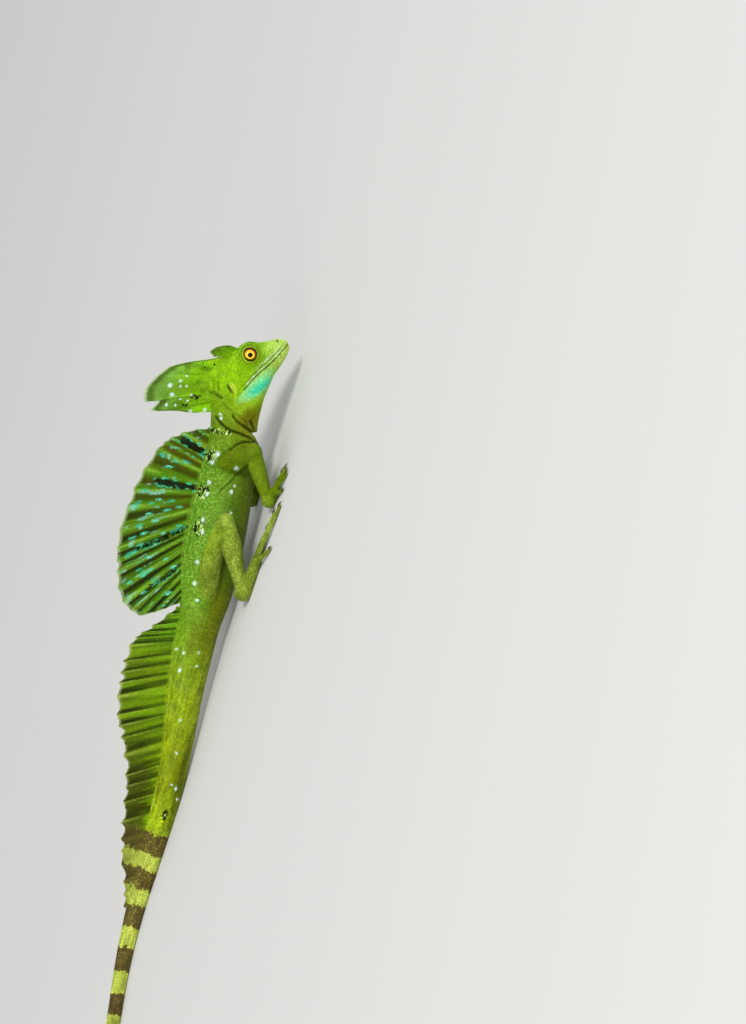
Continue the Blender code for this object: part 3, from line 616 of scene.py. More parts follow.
# %% Balls and swellings
def ball(centre, radii, pitch=0.0, steps=24):
    """Rings of an ellipsoid about a sideways axis, pitched in the X-Z plane."""
    turn = 2 * np.pi * np.arange(32) / 32
    rings = []
    for a in np.linspace(-1.5, 1.5, steps):
        along, up = radii[0] * math.cos(a) * np.cos(turn), radii[2] * math.cos(a) * np.sin(turn)
        c, s = math.cos(pitch), math.sin(pitch)
        across = np.full(32, radii[1] * math.sin(a))
        rings.append(np.stack([along * c - up * s, across, along * s + up * c], 1) + centre)
    return np.array(rings)


SWELL_EDGE = 0.35


def swollen(sail, out):
    """Half the thickness of the flesh at a sail's root, at shares of the way out to its edge."""
    rise = np.clip(out / sail["swell_reach"], 0, 1)
    return SWELL_EDGE + sail["swell"] * (1 - rise) ** 1.7


def swelling(sail):
    """The thick root of a sail, which thins out to less than the sail's own skin."""
    middle, _, shares = sail_surface(sail)
    rows = shares[0, :, 1] <= sail["swell_reach"]
    return sail_mesh("swelling", middle[:, rows], swollen(sail, shares[:, rows, 1]))[0]


def joined(name, meshes):
    """One mesh made of several."""
    built = bmesh.new()
    for mesh in meshes:
        built.from_mesh(mesh)
    whole = bpy.data.meshes.new(name)
    built.to_mesh(whole)
    built.free()
    return whole


print("the back sail's root is", round(2 * float(swollen(BACK_SAIL, 0.0)), 1), "mm thick in the flesh")

# %% Melt the forms into one skin
LID_DOME_CENTRE = (0.2, 5.1, 1.2)
LID_DOME_RADII = (9.4, 5.6, 7.8)
VOXEL = 0.5
SKIN_TRIANGLES = 190_000
lid_domes = [ball(from_head(np.array(LID_DOME_CENTRE) * (1, side, 1)), LID_DOME_RADII, HEAD_PITCH)
             for side in (1, -1)]
forms = [loft("body", [trunk_rings, *leg_tubes, *toe_rings, *lid_domes])]
forms += [swelling(sail) for sail in (BACK_SAIL, TAIL_SAIL, HEAD_CREST, FRONT_CREST)]
skin = piece("skin", joined("skin", forms))
remesh = skin.modifiers.new("melt", "REMESH")
remesh.mode = "VOXEL"
remesh.voxel_size = VOXEL * MM
skin_mesh = baked(skin)
print(len(skin_mesh.vertices), "points in the melted skin")

# %% [markdown]
# ## Folds, lids and lips
# The forms too small for the sections are pressed into the skin point by point. Each is a soft step or a
# bell of the distance to a line or a centre on the head: rings of wrinkles round the eye, the slit
# between the lips, the nostril, the ear's hollow with its rim, and the loose folds of the neck.

# %% Places of the openings and the folds
NOSTRIL_AT = (21.5, 3.6, -1.8)
EAR_AT = (-25.0, 13.2, -11.8)
EAR_SIZE = (1.8, 4.5)
MOUTH_STEPS, MOUTH_END = 60, 50
MIDLINE, FAR_OFF = 1.5, 9.0
NECK_FOLDS = (
    (((121.0, 40.6), (117.6, 36.2), (114.7, 28.3), (111.7, 20.3)), 0.9),
    (((116.6, 52.2), (112.5, 46.4), (110.1, 38.6), (109.6, 30.3), (107.9, 21.6), (106.0, 16.3)), 1.1),
    (((96.6, 35.4), (101.4, 31.9), (104.7, 27), (106.3, 20.6)), 0.9),
    (((89, 19.5), (83, 24), (74, 28.8), (66, 34)), 0.45),
    (((144.2, 58.6), (139.5, 57.5), (135.5, 55.7)), 0.5),
    (((134.5, 66), (132.2, 62), (132.6, 57.5), (130.5, 52)), 0.8),
    (((127, 50), (124.5, 44), (121.5, 36), (119, 29)), 0.35),
    (((120.4, 27.2), (117, 24.2), (113.8, 21.2)), 0.9),
)
print(len(NECK_FOLDS), "folds on the neck and shoulder")

# %% Distances to lines and marks
def distance_to_line(points, line):
    """The distance of points to a line of short steps."""
    best = np.full(len(points), 1e9)
    for start, end in zip(line[:-1], line[1:]):
        span = end - start
        t = np.clip((points - start) @ span / (span @ span), 0, 1)
        best = np.minimum(best, np.linalg.norm(points - start - t[:, None] * span, axis=1))
    return best


def bell(distance, width):
    """1 at no distance, and soft down to 0 beyond about twice the width."""
    return np.exp(-((distance / width) ** 2))


def oval(seen, x, z, wide, tall):
    """The distance from the middle of an oval on the side view, which is 1 on its outline."""
    return np.hypot((seen[:, 0] - x) / wide, (seen[:, 1] - z) / tall)


SIDE_TILT = 0.2126


def seen_from_side(points):
    """Places (x, z) on the tilted side view that the marks were measured in, the same on both sides."""
    return np.stack([points[:, 0], points[:, 2] - SIDE_TILT * np.abs(points[:, 1])], 1)


def head_marks(points):
    """Distances in millimetres from the marks of the head that folds and colours share."""
    local = to_head(points)
    local[:, 1] = np.abs(local[:, 1])
    along, across, up = local.T
    lip_line = fine(MOUTH_LINE, MOUTH_STEPS)[:MOUTH_END, [0, 2]]
    mouth_height = np.interp(-along, -np.array(MOUTH_LINE)[:, 0], np.array(MOUTH_LINE)[:, 2])
    nostril = np.hypot(along - NOSTRIL_AT[0], up - NOSTRIL_AT[2])
    ear_along, _, ear_up = (local - EAR_AT).T
    return {
        "local": local,
        "eye": np.hypot(along - EYE_CENTRE[0], up - EYE_CENTRE[2]),
        "lip": distance_to_line(local[:, [0, 2]], lip_line),
        "above_lip": up - mouth_height,
        "nostril": nostril + FAR_OFF * (across < MIDLINE),
        "ear": np.hypot(ear_along / EAR_SIZE[0], ear_up / EAR_SIZE[1]),
        "behind_ear": np.hypot((ear_along + 2.1) / EAR_SIZE[0], ear_up / EAR_SIZE[1]),
    }


eye_marks = head_marks(from_head([EYE_CENTRE]))
print("from the middle of the eye to the lip it is", eye_marks["lip"].round(1), "mm")

# %% [markdown]
# ## Pressing the forms in
# The melted skin is first relaxed, and more so in the hollows where a leg joins the body. Then each point
# moves along its own normal by the sum of all the forms. At last the skin is thinned to an even budget of
# triangles, because the scales carry the finer detail.

# %% Relaxing a mesh
def normals(mesh):
    """The way out of the mesh at each of its points."""
    flat = np.empty(len(mesh.vertices) * 3)
    mesh.vertices.foreach_get("normal", flat)
    return flat.reshape(-1, 3)


def relaxed(mesh, values, rounds, pull=0.5):
    """Values of the mesh's points, each drawn by its pull towards the mean of its neighbours."""
    ends = np.empty(len(mesh.edges) * 2, int)
    mesh.edges.foreach_get("vertices", ends)
    a, b = ends.reshape(-1, 2).T
    count = len(mesh.vertices)
    joined = np.bincount(a, minlength=count) + np.bincount(b, minlength=count)
    values = np.array(values, float).reshape(count, -1)
    pull = np.broadcast_to(np.reshape(pull, (-1, 1)), (count, 1))
    for _ in range(rounds):
        for axis in range(values.shape[1]):
            column = values[:, axis]
            total = np.bincount(a, column[b], count) + np.bincount(b, column[a], count)
            values[:, axis] = column + (total / joined - column) * pull[:, 0]
    return values


print("the skin has", len(skin_mesh.edges), "edges to relax along")

# %% Press the small forms into the skin
def press_details(points):
    """How far each point moves out of the skin, in millimetres."""
    move = np.zeros(len(points))
    near_head = to_head(points)[:, 0] > -45
    marks = head_marks(points[near_head])
    side, eye = marks["local"][:, 1], marks["eye"]
    outer = smooth(3.5, 6.5, side)
    rings = np.cos(2 * np.pi * (eye - 5.4) / 1.6) * smooth(5.6, 6.4, eye) * (1 - smooth(8.6, 11, eye))
    lift = outer * (0.22 * rings + 0.75 * bell(eye - 5.4, 0.6))
    cheek = smooth(0.6, 1.6, side)
    lift -= cheek * 0.85 * bell(marks["lip"], 0.4)
    lift += cheek * 0.25 * bell(marks["lip"] - 1.2, 0.6)
    lift -= cheek * 0.3 * bell(marks["above_lip"] - 2.7, 0.4) * (marks["lip"] < 4)
    lift += 0.45 * bell(marks["nostril"] - 1.25, 0.45) - 1.7 * bell(marks["nostril"], 0.75)
    beside = smooth(6, 9, side)
    lift += beside * (0.9 * (1 - smooth(0.4, 1.15, marks["ear"])) - bell(marks["behind_ear"], 0.9))
    move[near_head] = lift
    seen = seen_from_side(points)
    flank = smooth(1.5, 4.5, np.abs(points[:, 1]))
    for fold, depth in NECK_FOLDS:
        near = (points[:, 0] > 50) & (points[:, 0] < 150)
        gap = distance_to_line(seen[near], fine(fold, 24))
        move[near] += flank[near] * depth * (0.4 * bell(gap - 1.8, 0.9) - bell(gap, 0.8))
    return move


def tree_of(mesh):
    """The mesh as a tree that finds the nearest place on it."""
    return BVHTree.FromPolygons([v.co for v in mesh.vertices], [p.vertices for p in mesh.polygons])


def distance_to_trunk(points):
    """How far points stand out of the trunk without its legs."""
    return np.array([trunk_tree.find_nearest(place)[3] for place in (points + SHIFT) * MM]) / MM


trunk_tree = tree_of(loft("trunk_only", [trunk_rings]))
points = relaxed(skin_mesh, positions(skin_mesh), 8 if VOXEL < 0.7 else 3)
joint = bell(distance_to_trunk(points) - 1.0, 2.5) * (points[:, 0] > -40) * (points[:, 0] < 112)
points = relaxed(skin_mesh, points, 30, 0.5 * joint * (np.abs(points[:, 1]) > 5))
move_to(skin_mesh, points)
points += normals(skin_mesh) * press_details(points)[:, None]
points[:, 2] = np.maximum(points[:, 2], 0)
move_to(skin_mesh, points)
thin = skin.modifiers.new("thin", "DECIMATE")
thin.ratio = min(1.0, SKIN_TRIANGLES / (2 * len(skin_mesh.polygons)))
skin_mesh = baked(skin)
skin_mesh.shade_smooth()
print(len(skin_mesh.polygons), "faces in the skin")

# %% [markdown]
# ## Node graphs as plain expressions
# A shader is a graph of small nodes, and so is a tree that grows geometry. Wrapping a socket in a class
# with arithmetic operators lets either graph be written as a formula, where each operator adds one Math
# node. The alternative is to place and link every node by hand, which hides the formula.

# %% A socket with operators
class Value:
    """A node's output that can be used in arithmetic."""

    def __init__(self, graph, socket):
        self.graph, self.socket = graph, socket

    def _with(self, operation, *values):
        return self.graph.add("ShaderNodeMath", {"operation": operation}, dict(enumerate(values)))

    def __add__(self, other):
        return self._with("ADD", self, other)

    def __mul__(self, other):
        return self._with("MULTIPLY", self, other)

    def __sub__(self, other):
        return self._with("SUBTRACT", self, other)

    def __rsub__(self, other):
        return self._with("SUBTRACT", other, self)

    def __gt__(self, other):
        return self._with("GREATER_THAN", self, other)

    __radd__, __rmul__ = __add__, __mul__


print("a value can be added, taken away, multiplied and compared")

# %% A graph that adds nodes
def linear(colour):
    """A screen colour of 0 to 255 as the linear light that Blender mixes."""
    share = np.asarray(colour, float) / 255
    return np.where(share <= 0.04045, share / 12.92, ((share + 0.055) / 1.055) ** 2.4)


class Graph:
    """A node tree that adds a node with its settings and the values or links of its sockets."""

    def __init__(self, tree):
        self.tree = tree

    def add(self, kind, settings=None, sockets=None, out=0):
        node = self.tree.nodes.new(kind)
        for key, value in (settings or {}).items():
            setattr(node, key, value)
        for key, value in (sockets or {}).items():
            if isinstance(value, Value):
                self.tree.links.new(value.socket, node.inputs[key])
            else:
                node.inputs[key].default_value = value
        return Value(self, node.outputs[out])

    def feed(self, shader, key, value):
        """Links a value to a socket of the shader."""
        self.tree.links.new(value.socket, shader.inputs[key])

    def ramp(self, value, *stops):
        """The value turned into a colour by stops of (place, colour)."""
        made = self.add("ShaderNodeValToRGB", None, {0: value})
        ramp = made.socket.node.color_ramp
        while len(ramp.elements) < len(stops):
            ramp.elements.new(0.5)
        for element, (place, colour) in zip(ramp.elements, stops):
            element.position, element.color = place, (*linear(colour), 1)
        return made

    def mix(self, share, first, second, blend="MIX"):
        """The first colour mixed with the second by a share."""
        node = self.tree.nodes.new("ShaderNodeMix")
        node.data_type, node.blend_type = "RGBA", blend
        for key, value in ((0, share), (6, first), (7, second)):
            if isinstance(value, Value):
                self.tree.links.new(value.socket, node.inputs[key])
            else:
                node.inputs[key].default_value = value
        return Value(self, node.outputs[2])


print("a screen colour of 128 is", linear(128).round(3), "of the light of 255")

# %% [markdown]
# ## Colours and markings
# A green basilisk is lime on the head, leaf green on the back, olive on the legs and banded on the tail,
# with pale blue-green spots and a few black bars. One function paints any point of the body, so the skin
# and the scales that lie on it get the same markings, and each scale takes a single tone as a real one
# does. The marks are measured on the side view and put on both sides.

# %% Random clouds and mixing
def scatter(cell, seed):
    """A random value from 0 to 1 for each cell of whole numbers."""
    key = cell @ np.array((73856093, 19349663, 83492791)) + seed * 2654435761
    key = (key ^ (key >> 13)) * 1274126177
    return ((key ^ (key >> 16)) & 0xFFFF) / 65535


def cloud(points, size, seed=0):
    """Smooth random values from 0 to 1 that change over the given size."""
    place = points / size + seed * 7.31
    cell = np.floor(place).astype(np.int64)
    part = place - cell
    part = part * part * (3 - 2 * part)
    total = np.zeros(len(points))
    for corner in np.ndindex(2, 2, 2):
        total += scatter(cell + corner, seed) * np.prod(np.where(corner, part, 1 - part), axis=1)
    return total


def chips(points, size, seed):
    """One random value for each small block with bent edges, as groups of scales have."""
    bend = np.stack([cloud(points, size, seed + i) for i in range(3)], 1)
    return scatter(np.floor(points / size + 0.9 * bend).astype(np.int64), seed)


def blend(colours, target, share):
    """Colours mixed towards a target by a share for each point."""
    return colours + (linear(target) - colours) * np.clip(share, 0, 1)[:, None]


def layered(colours, layers):
    """Colours with layers of (tone, share) laid over them one after another."""
    for tone, share in layers:
        colours = blend(colours, tone, share)
    return colours


def spotted(colours, seen, spots, target, wobble=0.0):
    """Colours with round spots of (x, z, radius) on the side view."""
    for x, z, radius in spots:
        gap = np.hypot(seen[:, 0] - x, seen[:, 1] - z) + wobble
        colours = blend(colours, target, 0.97 * smooth(radius * 1.12, radius * 0.75, gap))
    return colours


print("three values of a cloud:", cloud(np.eye(3) * 5, 2.0).round(2))

# %% The body's tones and marks
BODY_TONES = (
    (-620, (96, 84, 40)), (-330, (112, 104, 40)), (-186, (158, 178, 20)), (-174, (168, 192, 24)),
    (-146, (128, 144, 4)), (-110, (154, 174, 10)), (-60, (132, 166, 22)), (-20, (110, 160, 30)),
    (40, (104, 159, 36)), (80, (103, 153, 28)), (100, (108, 146, 16)), (116, (114, 146, 8)),
    (130, (132, 178, 6)), (140, (146, 202, 6)), (200, (152, 210, 10)),
)
LEAF_SHADE, LEAF_PALE, BACK_GLINT, TAIL_UNDER_SHADE = (78, 112, 16), (162, 196, 66), (164, 212, 92), (44, 52, 8)
ARM_GREEN, THIGH_GREEN, SHIN_GREEN = (116, 142, 12), (152, 184, 42), (130, 142, 54)
KNEE_GREEN, LEG_GLINT, LEG_SHADE = (166, 188, 78), (196, 212, 130), (84, 108, 10)
# the vent's tone also paints the shade behind the hip
BELLY, VENT_AND_HIP_SHADE, FLANK_SHADE = (144, 156, 40), (112, 120, 6), (66, 88, 16)
SNOUT_PALE, SNOUT_TIP = (204, 240, 112), (196, 150, 56)
CHEEK_SHADE, JAW_PALE = (120, 168, 10), (184, 214, 96)
LIP_WHITE_AND_SHEEN, LIP_DARK, EYE_RIM = (236, 250, 214), (62, 92, 8), (20, 16, 4)
THROAT_LIME, THROAT_PALE = (172, 214, 40), (174, 250, 152)
THROAT_BLUE, THROAT_DEEP = (110, 244, 172), (56, 230, 190)
DEWLAP, DEWLAP_EDGE, DEWLAP_SHADE = (140, 142, 4), (182, 172, 22), (70, 60, 0)
# painted shade in creases and hollows, and a painted highlight on the ridge beside a fold
FOLD_SHADE, FOLD_HIGHLIGHT = (26, 38, 4), (168, 196, 50)
LID_PALE, LID_DARK, EAR_LIME = (182, 212, 40), (60, 84, 8), (204, 232, 60)
BAND_DARK, BAND_LIME, SPOT, BLACK = (98, 78, 44), (194, 206, 86), (226, 255, 238), (7, 9, 9)
MOSAIC_PALE = (200, 236, 132)
BAND_EDGES = (-184, -199.3, -210.8, -225.1, -238.3, -255.6, -270.2, -289.2, -304.3)
BAND_STEP = 17.0
TAIL_END = -612
SPOTS = (
    (91, 43.5, 1.9), (84.5, 45.7, 1.7), (69.8, 43.8, 1.6), (61.3, 42.9, 1.6), (84.8, 27.2, 1.8),
    (67.9, 26.1, 1.4), (42.9, 40.5, 1.6), (34.3, 38.6, 1.6), (12.6, 36.3, 1.6), (-2.9, 33.6, 1.6),
    (-13.8, 28.5, 1.2), (53.2, 22.2, 1.2), (72.4, 25, 1.1), (119.3, 49.8, 1.2), (116.3, 48.5, 1.4),
    (-53, 27.5, 1.2), (-52, 33.4, 1.2), (-50, 16.8, 0.9), (-60, 15.5, 0.9), (-66, 26.9, 1.4),
    (-100, 16, 1.1), (-124, 12, 1.1), (-147, 9.5, 1), (-149, 5.4, 1), (-156, 2.4, 0.9),
)
MOSAICS = (
    (88, 47.5, 5, 5), (62, 46, 5.5, 5), (37, 42, 7, 4.5), (107.2, 50.5, 2.6, 6), (107.6, 43, 2.2, 5),
    (-169.5, 8, 4.0, 2.2),
)
band_lengths = [*(TAIL_START - np.interp(-np.array(BAND_EDGES), -plan[:, 0], plan_length))]
while band_lengths[-1] > TAIL_END:
    band_lengths.append(band_lengths[-1] - BAND_STEP)
print(len(SPOTS), "pale spots and", len(band_lengths), "edges of bands")

# %% [markdown]
# ## Painting in layers
# The colour of a place is made as a painter would make it: a base tone that changes along the body, then
# one thin layer over another, each with a tone and a share that says where it covers. The shares are the
# same soft steps and bells that shaped the skin, so a mark sits exactly on its fold.

# %% Paint for the bands, and the plain tone
def paint_bands(colours, place, chance, share):
    """Dark and lime bands across the tail behind the first edge."""
    banded = smooth(band_lengths[0] + 1, band_lengths[0] - 1, place)
    index = np.searchsorted(-np.array(band_lengths), -place)
    dark = (index % 2) * (index > 0)
    fade = smooth(-300, -560, place)
    colours = blend(colours, BAND_LIME, banded * (1 - dark) * (1 - 0.72 * fade) * share)
    return blend(colours, BAND_DARK, dark * (0.97 - 0.25 * (chance > 0.8)) * share)


def body_tone(x):
    """The plain tone of the body at places along its straight axis."""
    places, tones = zip(*BODY_TONES)
    return np.stack([np.interp(x, places, channel) for channel in linear(tones).T], 1)


print("the tone at the middle of the back is", body_tone(np.array([20.0])).round(3))

# %% Paint for the trunk and the legs
LEG_ZONE = (-60, 112)


def paint_trunk(points, facing, chance):
    """The linear colour of points of the body without the head's own marks."""
    straight = straighten_tail(points)
    x, up = straight[:, 0], facing[:, 2]
    front, beside, height = points[:, 0], np.abs(points[:, 1]), points[:, 2]
    leg = smooth(0.3, 5.0, distance_to_trunk(points)) * (front > LEG_ZONE[0]) * (front < LEG_ZONE[1])
    trunk = 1 - leg
    hind = leg * smooth(72, 60, front)
    shin = hind * smooth(10, 24, beside) * smooth(46, 30, height + 0.3 * np.abs(front))
    down = smooth(0.25, -0.75, up)
    upper = smooth(0.0, 0.8, up) * trunk * smooth(-40, 0, x) * smooth(104, 96, x)
    shaded = smooth(0.65, -0.1, up) * smooth(-30, 0, x) * smooth(100, 84, x)
    # painted shade low on the side, behind the hip
    shade_behind_hip = bell(x + 40, 15) * smooth(30, 22, seen_from_side(points)[:, 1])
    colours = layered(body_tone(x), (
        (LEAF_SHADE, 0.34 * smooth(0.5, 0.9, cloud(points, 9, 1))),
        (LEAF_PALE, 0.3 * smooth(0.55, 0.95, cloud(points, 5, 2)) * trunk),
        # painted glints on scales of the back that face up
        (BACK_GLINT, upper * 0.36 * (chance > 0.78)),
        (ARM_GREEN, leg * 0.9),
        (THIGH_GREEN, hind * 0.95),
        (SHIN_GREEN, 0.6 * shin),
        (KNEE_GREEN, 0.6 * hind * bell(front - 50, 9)),
        # painted highlights on single scales of the hind legs
        (LEG_GLINT, 0.2 * hind * (chance > 0.88)),
        (LEG_SHADE, 0.4 * leg * smooth(0.5, 0.85, cloud(points, 4, 15))),
        (BELLY, 0.7 * down * trunk * smooth(-190, -100, x) * (1 - smooth(100, 118, x))),
        (FLANK_SHADE, 0.5 * shaded * trunk),
        # painted shade behind the hip; the next layer is the vent's own colour underneath
        (VENT_AND_HIP_SHADE, 0.65 * shade_behind_hip * trunk),
        (VENT_AND_HIP_SHADE, 0.85 * smooth(0.0, 0.5, down) * bell(x + 20, 18) * trunk),
    ))
    place = x + (cloud(points, 3.2, 3) - 0.5) * 4 + (chance - 0.5) * 1.6
    colours = paint_bands(colours, place, chance, trunk)
    # painted shade where the tail's side turns under
    under_tail_shade = smooth(0.1, -0.3, up) * smooth(-0.85, -0.5, up) * smooth(-90, -130, x) * smooth(-186, -176, x)
    colours = blend(colours, TAIL_UNDER_SHADE, 0.6 * under_tail_shade * trunk)
    rows = cloud(straight * (0.14, 1.0, 1.0), 1.2, 61)
    return colours * (1 + 0.8 * (rows - 0.5) * smooth(-20, -70, x))[:, None]


belly_tone = paint_trunk(np.array([[20.0, 0, 7]]), np.array([[0, 0, -1.0]]), np.array([0.5]))
print("the tone under the belly is", belly_tone.round(3))

# %% Paint for folds, spots and mosaics
def paint_marks(colours, points, chance):
    """Adds painted shade and painted highlights at the neck's folds, the pale spots and the black and pale
    mosaics.
    """
    seen = seen_from_side(points)
    flank = smooth(1.0, 3.5, np.abs(points[:, 1]))
    for fold, depth in NECK_FOLDS:
        line = fine(fold, 16)
        near = np.abs(seen[:, 0] - line[:, 0].mean()) < 40
        gap = distance_to_line(seen[near], line)
        wide = 0.55 + cloud(points[near], 4, 71)
        # painted shade in the fold, and a painted highlight on the ridge beside it
        colours[near] = layered(colours[near], (
            (FOLD_SHADE, 0.88 * min(1, depth) * flank[near] * bell(gap, wide)),
            (FOLD_HIGHLIGHT, 0.2 * depth * flank[near] * bell(gap - 2.0, 0.7)),
        ))
    chip = chips(points, 1.5, 44)
    for mosaic in MOSAICS:
        inside = smooth(1.15, 0.85, oval(seen, *mosaic))
        colours = layered(colours, (
            (BLACK, 0.98 * (chip > 0.52) * inside),
            (MOSAIC_PALE, 0.9 * (chip < 0.26) * inside),
        ))
    return spotted(colours, seen, SPOTS, SPOT, (chance - 0.5) * 0.9)


print(len(NECK_FOLDS), "folds,", len(SPOTS), "spots and", len(MOSAICS), "mosaics")

# %% [markdown]
# ## The head's marks
# The head carries the marks by which the animal is known: a pale lip, a blue patch on the throat that
# runs out into lime and olive, dark lines round the eye, and a lime ear. Each group is one short
# function, and they are laid on from the lips down to the throat and then round the openings, because the
# darkest lines come last.

# %% Paint for the lips
def paint_lips(colours, points, chance, marks):
    """The pale snout and jaw, the pale and dark streaks along the upper lip, and painted sheen on the lip.
    """
    head, side, above = marks["head"], marks["side"], marks["above_lip"]
    along, _, up = marks["local"].T
    snout = smooth(2, 20, along)
    jaw = side * smooth(-21, -6, along) * smooth(0.3, -0.4, above) * bell(above + 1.6, 2.6)
    glint = smooth(0.25, 0.6, cloud(points, 1.6, 9) * 0.6 + chance * 0.4)
    # the first two pale streaks follow the lip and are its own colour; the third, higher up, is a painted
    # sheen
    pale = bell(above - 1.3, 0.65) * smooth(-20, -12, along) * smooth(6, 1, along)
    pale = pale + 0.75 * bell(above - 1.2, 0.5) * smooth(4, 8, along) * smooth(27, 20, along)
    pale = pale + 0.7 * bell(above - 4.0, 0.9) * bell(along - 8, 9)
    return layered(colours, (
        (SNOUT_PALE, 0.9 * head * snout * smooth(2.5, -3.0, up - 0.1 * along)),
        (CHEEK_SHADE, 0.4 * side * smooth(0.4, 0.8, cloud(points, 6, 8)) * (1 - snout)),
        (JAW_PALE, 0.7 * jaw),
        # the glint breaks the pale streaks into painted highlights
        (LIP_WHITE_AND_SHEEN, 0.95 * side * pale * (0.3 + 0.7 * glint)),
        (LIP_DARK, 0.6 * side * bell(above - 2.5, 0.5) * smooth(-18, -10, along) * (along < 22)),
    ))


lip_steps = np.diff(fine(MOUTH_LINE, MOUTH_STEPS)[:MOUTH_END], axis=0)
print("the painted lip is", round(np.linalg.norm(lip_steps, axis=1).sum()), "mm long")

# %% Paint for the throat
BLUE_ENDS = np.array(((156.5, 20.5), (133.5, 38.0)))
DEWLAP_FRONT = ((134, 21.4), (124, 20.6), (115.6, 20.4))


def blue_patch(seen):
    """Where places lie beside the throat's blue patch: across it, and along it from -1 to 1."""
    start, end = BLUE_ENDS
    way = (end - start) / np.linalg.norm(end - start)
    gap = seen - (start + end) / 2
    return gap @ np.array((-way[1], way[0])), gap @ way / (np.linalg.norm(end - start) / 2)


def paint_throat(colours, points, marks):
    """The blue patch under the jaw, the striped lime round it, and the olive dewlap."""
    seen, head = marks["seen"], marks["head"]
    gap, run = blue_patch(seen)
    middle = np.abs(run + 0.1)
    below = smooth(0.1, -1.2, marks["above_lip"]) * head
    stripes = 0.5 + 0.5 * np.sin(2 * np.pi * gap / 1.5 + 3 * run)
    lime = below * bell(gap - 6.5, 4.5) * smooth(2.1, 1.2, np.abs(run - 0.3)) * (0.7 + 0.3 * stripes)
    wide = np.maximum(0.3, 1.0 - 0.35 * np.clip(run, 0, 2) ** 2) * (0.86 + 0.4 * cloud(points, 3, 14))
    patch = below * smooth(1.45, 0.55, np.abs(gap + 0.7) / (5.4 * wide)) * smooth(1.45, 0.75, np.abs(run))
    bag = head * smooth(1.2, 0.6, oval(seen, 118, 26, 14, 13)) * smooth(5, 11, gap)
    front = distance_to_line(seen, np.array(DEWLAP_FRONT))
    return layered(colours, (
        (THROAT_LIME, 0.95 * lime),
        (THROAT_PALE, 0.85 * patch),
        (THROAT_BLUE, 0.9 * patch * bell(gap - 1.0, 4.4) * smooth(1.15, 0.35, middle)),
        (THROAT_DEEP, 0.9 * patch * bell(gap - 1.8, 3.0) * smooth(0.95, 0.1, middle)),
        (DEWLAP, 0.92 * bag),
        (DEWLAP_SHADE, 0.6 * head * bell(oval(seen, 121, 28.5, 6.5, 4.5), 1)),
        (DEWLAP_EDGE, 0.7 * head * bell(front, 1.1)),
    ))


print("the blue patch is", round(float(np.linalg.norm(BLUE_ENDS[1] - BLUE_ENDS[0]))), "mm long")

# %% Paint for the openings of the head
LID_RINGS = ((10.4, 0.35), (8.5, 0.5), (6.7, 0.75))
BEHIND_EAR_FOLD = ((138, 45.4), (134, 42.6), (129.5, 41))


def paint_openings(colours, marks):
    """Painted shade at the crest's root, the mouth's line, the nostril and behind the ear; the lids and the
    ear.
    """
    head, side, lip, eye = marks["head"], marks["side"], marks["lip"], marks["eye"]
    along, out, up = marks["local"].T
    lids = smooth(3.5, 6, out) * head
    beside = smooth(6, 9, out)
    fold = distance_to_line(marks["seen"], np.array(BEHIND_EAR_FOLD))
    return layered(colours, (
        # painted shade under the crest's root, then in the slit between the lips
        (FOLD_SHADE, 0.55 * head * bell(oval(marks["seen"], 129, 59, 5, 6), 1)),
        (FOLD_SHADE, 0.75 * side * bell(lip, 0.42)),
        (LIP_DARK, 0.5 * head * bell(out, 0.6) * bell(along - 14, 8) * (up > -6)),
        *((LID_DARK, share * lids * bell(eye - ring, 0.5)) for ring, share in LID_RINGS),
        (LID_PALE, 0.7 * lids * smooth(6.4, 5.8, eye)),
        (EYE_RIM, 0.95 * lids * smooth(5.35, 4.9, eye)),
        # painted shade: the nostril's opening is painted black
        (BLACK, 0.98 * smooth(1.0, 0.7, marks["nostril"])),
        # painted shade in the hollow behind the ear
        (FOLD_SHADE, 0.8 * beside * smooth(1.15, 0.7, marks["behind_ear"])),
        (EAR_LIME, 0.95 * beside * smooth(1.15, 0.8, marks["ear"])),
        (EAR_LIME, 0.4 * head * bell(fold, 1.3)),
        (SNOUT_TIP, 0.5 * side * bell(lip, 1.0) * smooth(23.5, 26, along)),
    ))


print(len(LID_RINGS), "dark rings round the eye")

# %% Paint for the whole body
HEAD_DOTS = (
    (137.8, 68.9, 0.6), (131.5, 55.2, 0.8), (152.2, 63.4, 0.7), (118.8, 49.5, 0.7), (119.6, 40.3, 0.8),
)


def paint_head(colours, points, chance):
    """Adds the head's own marks to colours of points of the body."""
    marks = head_marks(points)
    marks["head"] = smooth(-44, -30, marks["local"][:, 0])
    marks["side"] = smooth(0.6, 1.8, marks["local"][:, 1]) * marks["head"]
    marks["seen"] = seen_from_side(points)
    colours = paint_lips(colours, points, chance, marks)
    colours = paint_throat(colours, points, marks)
    return spotted(paint_openings(colours, marks), marks["seen"], HEAD_DOTS, BLACK)


def body_paint(points, facing, chance):
    """The linear colour of points of the body. Facing is the way out of the skin, chance is 0 to 1."""
    colours = paint_trunk(points, facing, chance)
    near_head = to_head(points)[:, 0] > -48
    colours[near_head] = paint_head(colours[near_head], points[near_head], chance[near_head])
    colours = paint_marks(colours, points, chance)
    rough = np.where(near_head, 0.22, 0.34) - 0.04 * smooth(-60, -120, points[:, 0])
    mottle = 0.9 + 0.24 * cloud(points, 2.3, 6)
    return np.clip(colours * (mottle * (1 + rough * (2 * chance - 1)))[:, None], 0, 1)


print(len(HEAD_DOTS), "black dots on the head")

# %% [markdown]
# ## The skin's finish
# Living scales have a soft gloss and a fine grain. The painted colours are kept on the mesh as an
# attribute, which costs no picture and works at any distance. The material multiplies them by a grain of
# small cells, which also gives the bump. Under the scales the skin is painted darker, so the gaps between
# scales read as shade.

